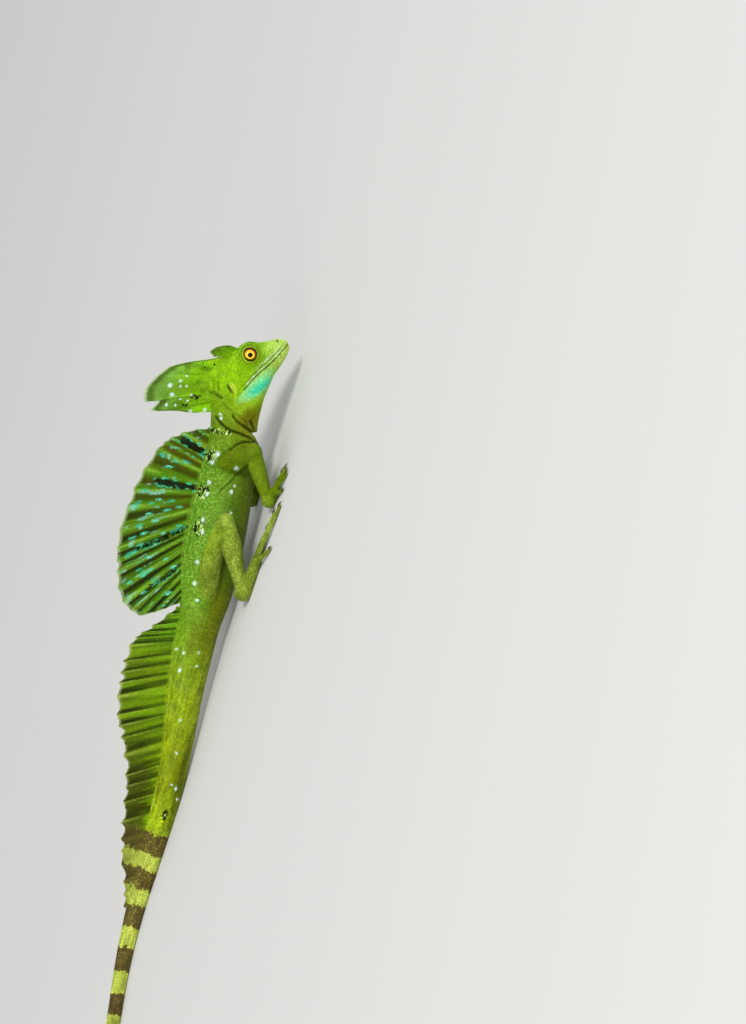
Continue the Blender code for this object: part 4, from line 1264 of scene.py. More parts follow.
# %% Paint the skin
SKIN_SHADE = 0.6
GLOSS_TINT = (0.7, 0.9, 0.22, 1)


def set_colours(mesh, colours):
    """Keeps linear colours on the mesh's points under the name that the material reads."""
    values = np.concatenate([colours, np.ones((len(colours), 1))], 1)
    mesh.attributes.new("tint", "FLOAT_COLOR", "POINT").data.foreach_set("color", values.ravel())


def material(name, roughness=0.5, **constants):
    """A new material, its graph and its Principled node."""
    made = bpy.data.materials.new(name)
    made.use_nodes = True
    shader = made.node_tree.nodes["Principled BSDF"]
    shader.inputs["Roughness"].default_value = roughness
    for key, value in constants.items():
        shader.inputs[key.replace("_", " ").title().replace("Ior", "IOR")].default_value = value
    return made, Graph(made.node_tree), shader


def scaly(name, roughness, grain_scale, depth):
    """A material for skin: the painted tint, a fine grain of cells and a soft gloss."""
    made, graph, shader = material(name, roughness, specular_ior_level=0.3, specular_tint=GLOSS_TINT)
    tint = graph.add("ShaderNodeAttribute", {"attribute_name": "tint"})
    place = graph.add("ShaderNodeTexCoord", out=3)
    pores = graph.add("ShaderNodeTexVoronoi", None, {"Vector": place, "Scale": grain_scale})
    fleck = graph.add("ShaderNodeTexNoise", None, {"Vector": place, "Scale": 420.0, "Detail": 3.0})
    dim = graph.ramp(pores, (0.1, (255, 255, 255)), (0.7, (150, 150, 140)))
    graph.feed(shader, "Base Color", graph.mix(0.4, tint, dim, "MULTIPLY"))
    graph.feed(shader, "Roughness", roughness - 0.12 + 0.25 * fleck)
    bump = {"Strength": depth, "Distance": 0.0002, "Height": pores}
    graph.feed(shader, "Normal", graph.add("ShaderNodeBump", {"invert": True}, bump))
    return made


points = positions(skin_mesh)
set_colours(skin_mesh, body_paint(points, normals(skin_mesh), cloud(points, 0.9, 5)) * SKIN_SHADE)
skin_mesh.materials.clear()
skin_mesh.materials.append(scaly("basilisk skin", 0.5, 1150.0, 0.6))
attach(skin, "root")
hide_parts(*[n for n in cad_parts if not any(w in n for w in ("eye", "sail", "crest"))])
print("painted", len(points), "points of skin")

# %% [markdown]
# ## The sails' colours
# The skin of a sail has painted highlights on the rays and painted shade in the folds between them, with
# blue-green dashes that run along the rays and black bars with blue-green edges that go on from the back.

# %% The sails' tones and marks
BARS = (
    (((94.2, 71), (88.6, 51), (86.5, 44)), 2.3), (((60.4, 80), (62, 66), (63.5, 46)), 2.2),
    (((9, 81.7), (19.6, 67.2), (26.4, 59.6), (41, 40.5)), 1.15),
    (((-12.7, 64.4), (-5.7, 56), (2.6, 49.8)), 0.7),
)
THIN_BAR = 1.5
DASHES = (
    (78.9, 81.7), (78, 71.5), (79, 64.6), (72.8, 75.2), (51.7, 87.1), (44.1, 80.1), (48, 75.5),
    (49.6, 66.5), (42.2, 68.1), (46.8, 59.9), (35.9, 80.5), (30.3, 85.6), (32.7, 73.4), (26.1, 84.4),
    (21.7, 79.7), (16.4, 86.8), (33.9, 56.1), (25.5, 66.1), (12.6, 80.4), (15.3, 70.7), (5.8, 83.2),
    (6.2, 71.8), (8.3, 59.1), (-4.8, 76.2), (-1.9, 67.5), (-5.5, 70.3), (4.2, 52.2), (-15.2, 79.9),
    (-8.3, 63.8), (-19.4, 68.2), (-15.2, 50.4),
)
CREST_SPOTS = (
    (129.1, 91, 1.8), (123.2, 87.6, 1.7), (114.9, 89.6, 1.4), (116.4, 83.4, 1.1), (134.3, 84.5, 1.2),
    (130.5, 83.5, 1), (121.8, 81, 0.9), (139, 81.4, 1), (131.8, 79.1, 0.8), (126.5, 73.8, 1.1),
    (121.9, 75.6, 1), (115.2, 71.3, 1.5), (119.3, 61.5, 1.3),
)
CREST_DOTS = (
    (125.1, 73.4, 1.1), (127.1, 72, 1.1), (125.8, 69.7, 1.6), (127.5, 67.8, 1.2), (118.3, 78, 1),
    (118.7, 75.8, 0.9), (120.2, 74.7, 0.6), (152.4, 63.8, 0.8), (148.3, 70.3, 0.7), (150.4, 71.8, 0.5),
)
# The fold tones are painted shade in the sails' folds, and the ray tones are painted highlights on the
# rays.
SAIL_GREEN, SAIL_LEAF, SAIL_OLIVE, SAIL_FOLD_SHADE = (88, 150, 18), (124, 188, 34), (84, 80, 6), (14, 22, 4)
SAIL_RAY_HIGHLIGHT, SAIL_RUST, SAIL_EDGE = (176, 214, 84), (96, 52, 10), (178, 204, 134)
SAIL_BLUE, SAIL_MINT = (70, 222, 172), (176, 250, 224)
TAIL_LEAF, TAIL_FRONT, TAIL_FOLD_SHADE, TAIL_OLIVE = (126, 162, 6), (96, 150, 26), (32, 50, 4), (58, 58, 4)
TAIL_RAY_HIGHLIGHT, TAIL_EDGE = (196, 212, 96), (214, 220, 150)
CREST_GREEN, CREST_LIME, CREST_FAR = (132, 192, 14), (158, 212, 12), (132, 184, 84)
CREST_CROWN_HIGHLIGHT, CREST_SHADE, CREST_FRONT = (176, 212, 26), (76, 116, 12), (72, 108, 14)
CREST_RIM, CREST_EDGE = (64, 92, 12), (214, 234, 190)
print(len(BARS), "black bars,", len(DASHES), "dashes and", len(CREST_SPOTS), "pale spots on the crest")

# %% Dashes and bars of the back sail
def dashed(x, z, chance):
    """How blue-green a place on the back sail is, from short dashes that run along the rays."""
    bright = np.zeros(len(x))
    for number, (dash_x, dash_z) in enumerate(DASHES):
        length = 1.6 + 1.6 * abs(math.sin(3.7 * number))
        way = np.array((-0.25 - 0.010 * (60 - dash_x), 1.0))
        way /= np.linalg.norm(way)
        gap = np.stack([x - dash_x, z - dash_z], 1)
        run, side = gap @ way, gap @ np.array((way[1], -way[0]))
        inside = np.hypot(run / length, side / 0.85) + 0.9 * (chance - 0.5)
        bright = np.maximum(bright, smooth(1.25, 0.7, inside))
    return bright


def paint_bars(colours, points, chance):
    """Adds the black bars, each with ragged sides and a blue-green fringe."""
    seen = seen_from_side(points)
    ragged = (cloud(points, 2.0, 21) - 0.5) * 2.4
    patchy = smooth(0.42, 0.5, cloud(points, 3.0, 27)) * (chance < 0.85)
    chip = chips(points, 1.4, 24)
    for line, wide in BARS:
        reach, strong, holes = (1.3, 0.55, 0.3) if wide < THIN_BAR else (1.9, 1.0, 0.06)
        gap = distance_to_line(seen, np.array(line)) + ragged
        fringe = smooth(wide + reach, wide + reach / 2, gap) * patchy
        colours = layered(colours, (
            (SAIL_BLUE, 0.9 * strong * fringe),
            (BLACK, 0.98 * smooth(wide + 0.3, wide - 0.3, gap) * (chip > holes)),
        ))
    return colours


first_dash = np.array(DASHES[:1]).T
print("the middle of a dash is", dashed(*first_dash, 0.5)[0], "blue-green")

# %% Paint for the back sail
def grain(shares, across, along, seed):
    """A cloud stretched over a sail, with so many cells from ray to ray and from root to edge."""
    phase, out = shares.T
    return cloud(np.stack([phase * across, out * along, 0 * out], 1), 1.0, seed)


def flow_from_body(colours, points, out):
    """Lets the body's own tone fade into the root of a sail."""
    root = 0.9 * smooth(0.13, 0.02, out)[:, None]
    return colours * (1 - root) + body_tone(straighten_tail(points)[:, 0]) * root


def back_sail_paint(points, shares, chance):
    """Painted highlights on rays and painted shade in folds, rusty at the front, with dashes, flecks and
    bars.
    """
    phase, out = shares.T
    x, z = seen_from_side(points).T
    between = 0.5 - 0.5 * np.cos(2 * np.pi * phase)
    broad, narrow, threads = (grain(shares, *size) for size in ((4, 1.6, 11), (11, 2.4, 12), (6, 1.8, 18)))
    rear = smooth(62, 14, x)
    # painted highlight along each ray
    ray = bell(phase - np.round(phase), 0.09) * smooth(0.3, 0.6, narrow)
    colours = layered(np.tile(linear(SAIL_GREEN), (len(points), 1)), (
        (SAIL_LEAF, 0.75 * smooth(0.4, 0.75, narrow)),
        (SAIL_OLIVE, 0.8 * smooth(0.3, 0.75, between * 0.6 + 0.5 * broad) * (1 - 0.55 * rear)),
        # painted shade in the folds between the rays, darker to the rear
        (SAIL_FOLD_SHADE, (0.3 + 0.65 * rear) * smooth(0.6, 0.9, between + 0.5 * (narrow - 0.5))),
        (SAIL_RAY_HIGHLIGHT, 0.55 * ray),
        (SAIL_RUST, 0.5 * smooth(0.62, 0.8, threads) * (1 - rear) * (out < 0.9)),
    ))
    colours = flow_from_body(colours * (0.45 + 1.1 * threads)[:, None], points, out)
    dash = dashed(x, z, chance)
    small = smooth(0.78, 0.88, grain(shares, 2.2, 9, 17)) * (between < 0.6) * (out > 0.25) * (out < 0.95)
    pale = smooth(0.66, 0.8, grain(shares, 5, 11, 29)) * smooth(0.3, 0.65, out) * (between < 0.75)
    colours = layered(colours, (
        (SAIL_BLUE, 0.95 * np.maximum(0.8 * small, dash)),
        (SAIL_MINT, 0.7 * dash * (chance > 0.6)),
        (SAIL_MINT, 0.55 * pale),
    ))
    edge = 0.8 * smooth(0.95, 0.985, out) * (chance > 0.25)
    return blend(paint_bars(colours, points, chance), SAIL_EDGE, edge)


ray_tone = back_sail_paint(np.array([[50.0, 0, 80]]), np.array([[8.0, 0.5]]), np.array([0.5]))
print("a ray in the middle of the back sail is", ray_tone.round(2), "of the light")

# %% Paint for the tail sail and the crests
def tail_sail_paint(points, shares, chance):
    """Green, a saw-tooth of painted shade and highlight from ray to ray, olive behind, the tail's bands
    going on.
    """
    phase, out = shares.T
    x = straighten_tail(points)[:, 0]
    saw = (phase + 0.12 * np.sin(phase * 3.1)) % 1
    narrow = grain(shares, 10, 2.0, 13)
    # painted shade in the valley between the rays
    valley_shade = smooth(0.36, 0.84, saw + 0.35 * (narrow - 0.5)) * (1 - smooth(0.93, 1.0, saw))
    colours = layered(np.tile(linear(TAIL_LEAF), (len(points), 1)), (
        (TAIL_FRONT, 0.7 * smooth(-70, -36, x) + 0.25 * narrow),
        (TAIL_FOLD_SHADE, (0.66 + 0.3 * smooth(0.2, 0.7, out)) * valley_shade),
    ))
    rear = smooth(-104, -152, x) * smooth(-0.1, 0.5, out + 0.5 * (narrow - 0.5))
    colours = layered(colours * (0.45 + 1.1 * grain(shares, 5, 1.2, 19))[:, None], (
        (TAIL_OLIVE, 0.84 * rear),
        # painted highlight on each ray, brighter towards the edge
        (TAIL_RAY_HIGHLIGHT, 0.55 * bell(saw - 0.05, 0.05) * (0.15 + out**2)),
    ))
    colours = flow_from_body(colours, points, out)
    colours = blend(colours, TAIL_EDGE, 0.6 * smooth(0.94, 0.99, out) * (chance > 0.35))
    place = x + (cloud(points, 3.2, 3) - 0.5) * 5 + (chance - 0.5) * 2
    return paint_bands(colours, place, chance, 0.85 - 0.2 * out)


def crest_paint(points, shares, chance):
    """Lime at the root, cooler towards the tip, with pale and black dots and a painted highlight at the
    crown.
    """
    out = shares[:, 1]
    seen = seen_from_side(points)
    x, z = seen.T
    far = smooth(60, 104, z) * smooth(118, 132, x + 0.2 * z)
    front = smooth(156, 160, x) * smooth(54, 58, z)
    # painted highlight where the crest's front curves over the crown
    crown = smooth(148, 155, x) * smooth(161, 157, x) * smooth(55, 61, z)
    colours = layered(np.tile(linear(CREST_GREEN), (len(points), 1)), (
        (CREST_LIME, 0.85 * smooth(0.5, 0.15, out) * smooth(136, 150, x)),
        (CREST_FAR, 0.85 * far * smooth(0.3, 0.9, out)),
        (CREST_SHADE, 0.55 * smooth(0.5, 0.85, cloud(points, 5, 31))),
        (CREST_FRONT, 0.5 * front * smooth(0.3, 0.8, out)),
        (CREST_CROWN_HIGHLIGHT, 0.5 * crown * smooth(0.3, 0.6, cloud(points, 2.5, 35))),
    ))
    colours = colours * (0.68 + 0.66 * grain(shares, 3, 1.5, 33))[:, None]
    colours = blend(colours, CREST_RIM, 0.7 * bell(out - 0.92, 0.05))
    for dots, tone in ((CREST_SPOTS, SPOT), (CREST_DOTS, BLACK)):
        colours = spotted(colours, seen, dots, tone)
    return blend(colours, CREST_EDGE, 0.85 * smooth(0.958, 0.978, out) * (chance > 0.25))


crest_edge = crest_paint(np.array([[140.0, 0, 80]]), np.array([[4.0, 0.98]]), np.array([0.5]))
print("the edge of the crest is", crest_edge.round(2), "of the light")

# %% [markdown]
# ## The sails' skins
# Each sail becomes one thin closed mesh in the colours above, darkened a little like the body's skin,
# since its scales lie over it. It takes the place of the plain solid of the same name.

# %% Make the sails
SAIL_SHADE = 0.7
SAILS = {
    "back_sail": (BACK_SAIL, back_sail_paint), "tail_sail": (TAIL_SAIL, tail_sail_paint),
    "head_crest": (HEAD_CREST, crest_paint), "front_crest": (FRONT_CREST, crest_paint),
}


def sail_colours(paint, points, shares, chance):
    """The linear colours of a sail's points, a little uneven from one to the next."""
    return np.clip(paint(points, shares, chance) * (0.8 + 0.4 * chance)[:, None], 0, 1)


membrane = scaly("sail skin", 0.48, 1300.0, 0.5)
for name, (sail, paint) in SAILS.items():
    middle, half, shares = sail_surface(sail)
    mesh, points = sail_mesh(name + "_skin", middle, half)
    colours = sail_colours(paint, points, np.tile(shares.reshape(-1, 2), (2, 1)), cloud(points, 0.8, 41))
    set_colours(mesh, colours * SAIL_SHADE)
    mesh.materials.append(membrane)
    made = piece(name + "_skin", mesh)
    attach(made, "root")
    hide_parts(name)
    print(name, len(mesh.polygons), "triangles")

# %% [markdown]
# ## Scales
# A basilisk's scales are small keeled plates in staggered rows, each with its free end away from the
# snout. Copying plates by hand would never end, and a bump map alone gives no outline, so Geometry Nodes
# put one plate on each seed. The seeds come from the same rings that made the body: each row steps along
# the tube by less than a plate's length, and every second row is shifted by half a plate, as on the
# animal.

# %% Seeds in staggered rows
ROW_STEP = 0.8


def row_seeds(lines, pitch, closed=True):
    """Staggered places over lines in a row, with the way on, the way across, and places on a flat chart."""
    middles = lines[..., :3].mean(axis=1)
    run = np.concatenate([[0], np.cumsum(np.linalg.norm(np.diff(middles, axis=0), axis=1))])
    rows = max(3, int(run[-1] / (pitch * ROW_STEP)))
    made = []
    for row, at in enumerate(np.interp(np.linspace(0, run[-1], rows), run, np.arange(len(lines)))):
        i = min(int(at), len(lines) - 2)
        line = lines[i] + (lines[i + 1] - lines[i]) * (at - i)
        way = lines[i + 1, :, :3] - lines[i, :, :3]
        if closed:
            line, way = np.concatenate([line, line[:1]]), np.concatenate([way, way[:1]])
        walk = np.concatenate([[0], np.cumsum(np.linalg.norm(np.diff(line[:, :3], axis=0), axis=1))])
        count = max(4, round(walk[-1] / pitch))
        share = (np.arange(count) + 0.25 + 0.5 * (row % 2)) / count
        both = np.concatenate([line, way, np.gradient(line[:, :3], axis=0)], 1)
        found = np.stack([np.interp(share * walk[-1], walk, column) for column in both.T], 1)
        made.append(np.concatenate([found, np.stack([np.full(count, row / rows), share], 1)], 1))
    channels = lines.shape[-1]
    return np.split(np.concatenate(made), [channels, channels + 3, channels + 6], axis=1)


CHART_RIM = 0.02


def charted(parts, pitch):
    """Seeds of several tubes, each in its own square cell of one chart."""
    cells = math.ceil(math.sqrt(len(parts)))
    found = []
    for n, rings in enumerate(parts):
        places, ways, _, chart = row_seeds(rings, pitch)
        chart = (chart * (1 - 2 * CHART_RIM) + CHART_RIM + (n % cells, n // cells)) / cells
        found.append(np.concatenate([places, ways, chart], 1))
    return np.concatenate(found)


print(len(charted([trunk_rings[:HEAD_STEPS]], 5.0)), "seeds would cover the head at 5 mm apart")

# %% [markdown]
# ## Seeds on the skin
# The tubes cross each other inside the body, so a seed can't simply stay where its tube put it. Each one
# moves to the nearest place on the melted skin. A seed is dropped where that place is too far off, where
# a neighbour already sits, or where a scale would cover the eye, the nostril or the slit of the mouth.

# %% Seeds on the skin
MAX_MOVE = 3.2
LOWEST_SEED = 0.3
CELL = 1.0
CROWDED = 0.62
skin_tree = tree_of(skin_mesh)
neighbours = [(i - 1, j - 1, k - 1) for i, j, k in np.ndindex(3, 3, 3)]


class Taken:
    """Cells of one millimetre that remember which places already hold a seed."""

    def __init__(self):
        self.held = {}

    def free(self, spot, room):
        """Whether no seed is nearer than the room; if so, the spot is taken."""
        i, j, k = (int(math.floor(value / CELL)) for value in spot)
        for di, dj, dk in neighbours:
            for x, y, z in self.held.get((i + di, j + dj, k + dk), ()):
                if (spot[0] - x)**2 + (spot[1] - y)**2 + (spot[2] - z)**2 < room**2:
                    return False
        self.held.setdefault((i, j, k), []).append(tuple(spot))
        return True


def on_skin(place):
    """The nearest place on the skin in millimetres, the way out of it there, and how far off it is."""
    near, normal, _, gap = skin_tree.find_nearest((place + SHIFT) * MM)
    return np.array(near) / MM - SHIFT, normal, gap / MM


def seeds_on_skin(parts, pitch, taken):
    """Seeds of tubes put on the skin, without those that would crowd others or cover an opening."""
    kept, facing = [], []
    for row in charted(parts, pitch):
        spot, normal, gap = on_skin(row[:3])
        if gap < MAX_MOVE and spot[2] > LOWEST_SEED and taken.free(spot, pitch * CROWDED):
            kept.append(np.concatenate([spot, row[3:]]))
            facing.append(normal)
    kept, facing = np.array(kept), np.array(facing)
    marks = head_marks(kept[:, :3])
    across = marks["local"][:, 1]
    open_eye = (marks["eye"] < 5.0) & (across > 3)
    slit = (marks["lip"] < 0.5) & (across > 0.8)
    clear = ~(open_eye | slit | (marks["nostril"] < 0.9))
    return kept[clear], facing[clear]


print("a seed at the origin moves", round(on_skin(np.zeros(3))[2], 1), "mm to the skin")

# %% [markdown]
# ## Two kinds of scale
# On the neck, back, limbs and tail a scale is a plate with a ridge that rises to its free end. On the
# head it is a round grain. Both are closed solids of a few faces, drawn one unit wide and scaled on the
# body, so tens of thousands of them stay light. Each carries a flat map of its own outline for the patch
# it takes on the coat's map.

# %% The two shapes of scale
def scale_shape(name, points, faces):
    """A closed scale as wide as its pitch, with its length along X, and a flat map of its outline."""
    mesh = bpy.data.meshes.new(name)
    mesh.from_pydata(points, [], faces)
    outward(mesh)
    flat = np.array(points) * (0.6, 0.8, 0) + (0.5, 0.5, 0)
    mesh.attributes.new("flat", "FLOAT_VECTOR", "POINT").data.foreach_set("vector", flat.ravel())
    return piece(name, mesh)


KEELED = scale_shape("keeled scale", [
    (-0.62, 0, -0.14), (0.0, 0.52, -0.14), (0.60, 0, -0.10), (0.0, -0.52, -0.14),
    (-0.62, 0, -0.04), (0.06, 0.50, 0.04), (0.68, 0, 0.27), (0.06, -0.50, 0.04),
], [
    (0, 1, 2), (0, 2, 3), (4, 6, 5), (4, 7, 6), (0, 4, 5), (0, 5, 1),
    (1, 5, 6), (1, 6, 2), (2, 6, 7), (2, 7, 3), (3, 7, 4), (3, 4, 0),
])
hexagon = [(0.52 * math.cos(a), 0.52 * math.sin(a)) for a in np.radians(range(0, 360, 60))]
after = [(k, (k + 1) % 6) for k in range(6)]
GRANULE = scale_shape(
    "round scale",
    [(x, y, -0.14) for x, y in hexagon] + [(x, y, 0.02) for x, y in hexagon] + [(0.06, 0, 0.26)],
    [(0, k, k + 1) for k in range(1, 5)] + [(k, n, n + 6) for k, n in after]
    + [(k, n + 6, k + 6) for k, n in after] + [(k + 6, n + 6, 12) for k, n in after],
)
print([len(shape.data.polygons) for shape in (KEELED, GRANULE)], "triangles in the two kinds of scale")

# %% [markdown]
# ## Growing the coat
# A node tree puts one scale on each seed, stood on its facing and turned along its lie, with a small
# random change of size from a fixed seed number. Realised as a mesh, the scales also get their places on
# the map called OFBake. Nodes do in a second what a loop over scales would do in minutes, and the tree's
# inputs keep one tree for all.

# %% The tree that puts a scale on each seed
COAT_INPUTS = {
    "Geometry": "Geometry", "Scale shape": "Object", "Unevenness": "Float", "Patch width": "Float",
    "Finish": "Material", "Seed": "Int",
}


def coat_tree():
    """Seeds in, solid scales out, each with its patch of the map named OFBake."""
    tree = bpy.data.node_groups.new("scales on seeds", "GeometryNodeTree")
    for label, kind in COAT_INPUTS.items():
        tree.interface.new_socket(label, in_out="INPUT", socket_type="NodeSocket" + kind)
    tree.interface.new_socket("Geometry", in_out="OUTPUT", socket_type="NodeSocketGeometry")
    graph = Graph(tree)
    sockets = tree.nodes.new("NodeGroupInput").outputs
    given = {label: Value(graph, sockets[label]) for label in COAT_INPUTS}

    def kept(label, kind="FLOAT_VECTOR"):
        return graph.add("GeometryNodeInputNamedAttribute", {"data_type": kind}, {"Name": label})

    stand = graph.add("FunctionNodeAlignRotationToVector", {"axis": "Z"}, {"Vector": kept("facing")})
    turn = graph.add("FunctionNodeAlignRotationToVector", {"axis": "X", "pivot_axis": "Z"}, {
        "Rotation": stand, "Vector": kept("lie"),
    })
    vary = graph.add("FunctionNodeRandomValue", {"data_type": "FLOAT"}, {
        2: 1 - given["Unevenness"], 3: 1 + given["Unevenness"], "Seed": given["Seed"],
    }, 1)
    shape = graph.add("GeometryNodeObjectInfo", None, {"Object": given["Scale shape"]}, "Geometry")
    size = kept("size", "FLOAT") * vary
    placed = graph.add("GeometryNodeInstanceOnPoints", None, {
        "Points": given["Geometry"], "Instance": shape, "Rotation": turn, "Scale": size,
    })
    solid = graph.add("GeometryNodeRealizeInstances", None, {"Geometry": placed})
    spread = graph.add("ShaderNodeVectorMath", {"operation": "SCALE"}, {
        0: kept("flat"), "Scale": given["Patch width"],
    })
    patch = graph.add("ShaderNodeVectorMath", {"operation": "ADD"}, {0: kept("patch"), 1: spread})
    mapped = graph.add("GeometryNodeStoreNamedAttribute", {"data_type": "FLOAT2", "domain": "CORNER"}, {
        "Geometry": solid, "Name": "OFBake", "Value": patch,
    })
    finished = graph.add("GeometryNodeSetMaterial", None, {"Geometry": mapped, "Material": given["Finish"]})
    tree.links.new(finished.socket, tree.nodes.new("NodeGroupOutput").inputs["Geometry"])
    return tree


COAT = coat_tree()
print(len(COAT.nodes), "nodes in the tree that grows a coat")

# %% Grow a coat on seeds
SCALE_FINISH = scaly("scale horn", 0.42, 1700.0, 0.25)
COAT_SETTINGS = {"Unevenness": 0.08, "Patch width": 0.003, "Finish": SCALE_FINISH, "Seed": 7}


def above_floor(points):
    """Points with none below the floor."""
    return np.maximum(points, (-1e9, -1e9, 0))


def grow_coat(name, places, facing, lie, patch, pitch, colours, shape):
    """A piece of solid scales on seeds."""
    seeds = bpy.data.meshes.new(name)
    seeds.from_pydata((places + SHIFT) * MM, [], [])
    flat_patch = np.concatenate([patch, np.zeros((len(patch), 1))], 1)
    for label, values in (("facing", facing), ("lie", lie), ("patch", flat_patch)):
        seeds.attributes.new(label, "FLOAT_VECTOR", "POINT").data.foreach_set("vector", np.ravel(values))
    sizes = np.full(len(places), pitch * MM)
    seeds.attributes.new("size", "FLOAT", "POINT").data.foreach_set("value", sizes)
    set_colours(seeds, colours)
    coat = piece(name, seeds)
    modifier = coat.modifiers.new("scales", "NODES")
    modifier.node_group = COAT
    inputs = {item.name: item.identifier for item in COAT.interface.items_tree if item.in_out == "INPUT"}
    for label, value in {"Scale shape": shape, **COAT_SETTINGS}.items():
        modifier[inputs[label]] = value
    mesh = baked(coat)
    mesh.name = name
    move_to(mesh, above_floor(positions(mesh)))
    for label in ("facing", "lie", "patch", "size", "flat"):
        if label in mesh.attributes:
            mesh.attributes.remove(mesh.attributes[label])
    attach(coat, "root")
    print(name, len(places), "scales,", len(mesh.polygons), "triangles")


print("scales differ in size by up to", COAT_SETTINGS["Unevenness"], "of their pitch")

# %% [markdown]
# ## The body's coats
# Scales are finest on the neck and coarsest on the tail and the head. Each region is a coat of its own,
# which keeps the pieces small. The seeds are painted by the same function as the skin, with one random
# chance each, so every scale has a single tone.

# %% Scales on the body
COARSER = 1.0
rng = np.random.default_rng(11)
taken = Taken()
ring_x = np.array([rings[:, 0].mean() for rings in straight_rings])


def body_part(front, rear):
    """The trunk's rings between two places along the straight body."""
    inside = np.where((ring_x <= front) & (ring_x >= rear))[0]
    return trunk_rings[max(0, inside[0] - 1):inside[-1] + 2]


TAIL_PARTS = ((-30, -90), (-90, -170), (-170, -330), (-330, -612))
COATS = {
    "scales_head": ([trunk_rings[1:HEAD_STEPS]], 1.15, GRANULE, "body_skin"),
    "scales_neck": ([body_part(132, 98)], 1.0, KEELED, "body_skin"),
    "scales_shoulders": ([body_part(98, 40)], 1.05, KEELED, "body_skin"),
    "scales_back": ([body_part(40, -30)], 1.1, KEELED, "body_skin"),
    "scales_tail": ([body_part(*ends) for ends in TAIL_PARTS], 1.2, KEELED, "body_skin"),
    "scales_legs": (leg_tubes, 1.1, KEELED, "limb_skin"),
    "scales_toes": (toe_rings, 1.05, KEELED, "limb_skin"),
}
for name, (parts, pitch, shape, slot) in COATS.items():
    pitch *= COARSER
    found, facing = seeds_on_skin(parts, pitch, taken)
    colours = body_paint(found[:, :3], facing, rng.random(len(found)))
    grow_coat(name, found[:, :3], facing, found[:, 3:6], found[:, 6:8], pitch, colours, shape)

# %% [markdown]
# ## The sails' coats
# Fine scales cover both faces of each sail in rows from end to end, and each lies along the rays. At the
# root the flesh swells out past the thin sheet, so the seeds there are moved to the skin, and they give
# way to the body's own scales.

# %% Scales on the sails
SAIL_PITCH = 1.2
SAIL_CROWDED = 0.55


def sail_seeds(sail, way, pitch):
    """Seeds on one face of a sail, and at its root on the skin that swells up to it."""
    middle, half, shares = sail_surface(sail)
    flesh = swollen(sail, shares[..., 1])
    swell = flesh > half
    half = np.where(swell, flesh, half)
    face = bend_tail(middle + np.stack([0 * half, way * half, 0 * half], -1))
    lines = np.concatenate([face, shares, swell[..., None]], -1).transpose(1, 0, 2)[:-1]
    found, ways, across, chart = row_seeds(lines, pitch, closed=False)
    facing = np.cross(across, ways)
    facing *= np.sign(facing[:, 1:2]) * way / np.linalg.norm(facing, axis=1)[:, None]
    chart = (chart * (1 - 2 * CHART_RIM) + CHART_RIM) * (1, 0.5) + (0, 0.25 + 0.25 * way)
    keep = np.ones(len(found), bool)
    for i in np.where(found[:, 5] > 0.2)[0]:
        found[i, :3], facing[i], _ = on_skin(found[i, :3])
        keep[i] = taken.free(found[i, :3], pitch * SAIL_CROWDED)
    return [values[keep] for values in (found, facing, ways, chart)]


for name, (sail, paint) in SAILS.items():
    pitch = SAIL_PITCH * COARSER
    sides = [sail_seeds(sail, way, pitch) for way in (-1, 1)]
    found, facing, ways, chart = (np.concatenate(values) for values in zip(*sides))
    colours = sail_colours(paint, found[:, :3], found[:, 3:5], rng.random(len(found)))
    grow_coat(name + "_scales", found[:, :3], facing, ways, chart, pitch, colours, KEELED)
for shape in (KEELED, GRANULE):
    bpy.data.objects.remove(shape)

# %% [markdown]
# ## Eyes
# The eye is a wet ball with a golden iris and a round pupil. A picture could be put on it, but a formula
# stays sharp at any distance. Its pattern is drawn on a map that looks at the eye along the head's side,
# so a ring in the formula is a ring round the pupil, and the gaze is a small shift of that map.

# %% Eyes
PUPIL = 0.3
iris, graph, shader = material("iris", 0.35, specular_ior_level=0.2, coat_weight=0.12, coat_roughness=0.05)
gaze = graph.add("ShaderNodeUVMap", {"uv_map": "gaze"})
centred = graph.add("ShaderNodeVectorMath", {"operation": "SUBTRACT"}, {0: gaze, 1: (0.5, 0.5, 0)})
radius = graph.add("ShaderNodeVectorMath", {"operation": "LENGTH"}, {0: centred}, out=1)
streaks = graph.add("ShaderNodeTexNoise", None, {"Vector": centred, "Scale": 26.0, "Detail": 4.0})
reach = radius * 2 + 0.08 * (streaks - 0.5)
gold = graph.ramp(
    reach, (PUPIL, (255, 214, 60)), (0.46, (252, 200, 24)), (0.6, (232, 146, 6)), (0.68, (120, 54, 4)),
    (0.73, (16, 8, 2)),
)
graph.feed(shader, "Base Color", graph.mix(radius * 2 > PUPIL, (0.002, 0.002, 0.002, 1), gold))
GAZE = np.array((-0.5, 0, 0.05))
for side, name in ((1, "left"), (-1, "right")):
    centre = from_head(EYE_CENTRE * (1, side, 1))
    mesh = loft("eyeball_" + name, [ball(centre, (EYE_RADIUS,) * 3, HEAD_PITCH, 72)])
    local = (to_head(positions(mesh)) - EYE_CENTRE * (1, side, 1) - GAZE) / EYE_RADIUS * 0.5 + 0.5
    corner = mesh.uv_layers.new(name="gaze")
    for loop, slot in zip(mesh.loops, corner.data):
        slot.uv = local[loop.vertex_index][[0, 2]]
    mesh.materials.append(iris)
    mesh.shade_smooth()
    eyeball = piece("eyeball_" + name, mesh)
    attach(eyeball, "root")
    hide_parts("eye_" + name)
print("two eyes,", round(2 * EYE_RADIUS, 1), "mm across")

# %% [markdown]
# ## Claws
# Each claw is a curved cone of dark horn beyond the last joint of its toe. They are one piece, because
# they share a finish and nothing of them moves, and they stop at the floor that the toes rest on.

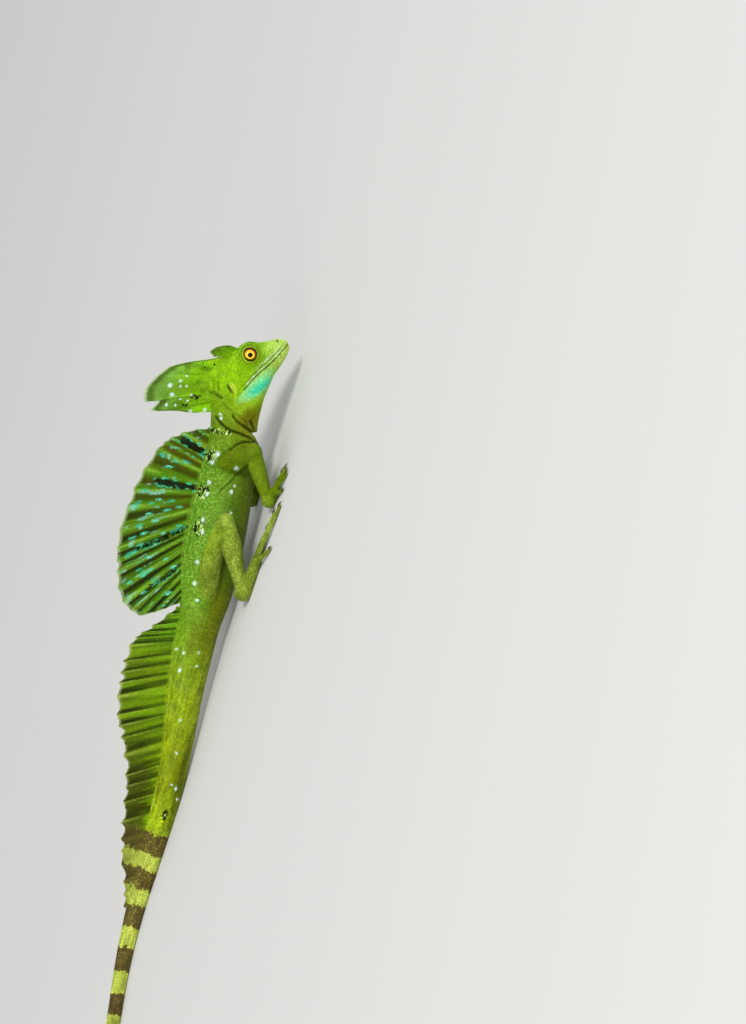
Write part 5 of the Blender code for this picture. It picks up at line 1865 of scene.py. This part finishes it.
# %% Claws
horn, graph, shader = material("claw horn", 0.3)
place = graph.add("ShaderNodeTexCoord", out=3)
grow = graph.add("ShaderNodeTexNoise", None, {"Vector": place, "Scale": 900.0})
graph.feed(shader, "Base Color", graph.ramp(grow, (0.3, (48, 42, 26)), (0.7, (104, 96, 62))))
claws = piece("claws", loft("claws", [above_floor(rings) for rings in claw_rings]))
claws.data.shade_smooth()
claws.data.materials.append(horn)
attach(claws, "root")
print(len(claw_rings), "claws")

# %% [markdown]
# ## The studio
# The floor is pale and plain, so that nothing competes with the animal, and lies a hair below its toes.
# The light is large and soft, because a small lamp would put hard shadows between the scales: a sky of
# even light, a large lamp from the animal's right, and a weak one that opens the shadows.

# %% Floor and light
FLOOR_HALF, FLOOR_DROP = 6.0, 0.0003
floor_mesh = bpy.data.meshes.new("floor")
corners = [(x * FLOOR_HALF, y * FLOOR_HALF, -FLOOR_DROP) for x, y in ((-1, -1), (1, -1), (1, 1), (-1, 1))]
floor_mesh.from_pydata(corners, [], [(0, 1, 2, 3)])
FLOOR_TONE = (0.66, 0.66, 0.63, 1)
floor_mesh.materials.append(material("pale floor", 0.9, base_color=FLOOR_TONE, specular_ior_level=0.1)[0])
piece("floor", floor_mesh)
world = bpy.data.worlds.new("studio")
world.use_nodes = True
world.node_tree.nodes["Background"].inputs["Color"].default_value = (0.97, 0.98, 1.0, 1)
world.node_tree.nodes["Background"].inputs["Strength"].default_value = 0.62
bpy.context.scene.world = world
bpy.context.scene.view_settings.view_transform = "Standard"


def softbox(name, at, size, watts):
    """A square lamp that points at the animal."""
    lamp = bpy.data.lights.new(name, "AREA")
    lamp.size, lamp.energy = size, watts
    held = piece(name, lamp)
    held.location = at
    held.rotation_euler = (Vector((0.05, 0, 0.05)) - held.location).to_track_quat("-Z", "Y").to_euler()


softbox("key", (3.2, -6.4, 5.4), 2.4, 560)
softbox("fill", (-3.6, -6.0, 2.4), 3.0, 90)
print("the floor is", 2 * FLOOR_HALF, "m wide")

# %% [markdown]
# ## The camera
# The animal climbed upright in nature and lies along the floor here, so the camera is rolled until the
# back runs up the picture, and looks down on the floor from a little above. Its lens follows from the
# real size of one picture point at the animal's distance.

# %% The camera
PIXEL = 0.72
CAMERA_LIFT, CAMERA_ROLL, CAMERA_REACH = math.radians(12), math.radians(16), 5.0
PICTURE_ROWS = 1024
SENSOR = 36.0
AIM = np.array((81.8, -26.0, -72.4))
toward = np.array((0, -math.cos(CAMERA_LIFT), math.sin(CAMERA_LIFT)))
upright = np.array((0, math.sin(CAMERA_LIFT), math.cos(CAMERA_LIFT)))
ahead = np.array((1.0, 0, 0))
picture_up = math.cos(CAMERA_ROLL) * ahead + math.sin(CAMERA_ROLL) * upright
picture_right = math.sin(CAMERA_ROLL) * ahead - math.cos(CAMERA_ROLL) * upright
camera = bpy.data.cameras.new("camera")
camera.sensor_fit, camera.sensor_height = "VERTICAL", SENSOR
camera.lens = SENSOR * CAMERA_REACH / (PICTURE_ROWS * PIXEL * MM)
camera.clip_end = 30
held = piece("camera", camera)
turned = np.stack([picture_right, picture_up, toward], 1)
where = Matrix.Translation((AIM + SHIFT) * MM + toward * CAMERA_REACH)
held.matrix_world = where @ Matrix(turned.tolist()).to_4x4()
bpy.context.scene.camera = held
print("camera at", np.round(where.translation, 2), "m")
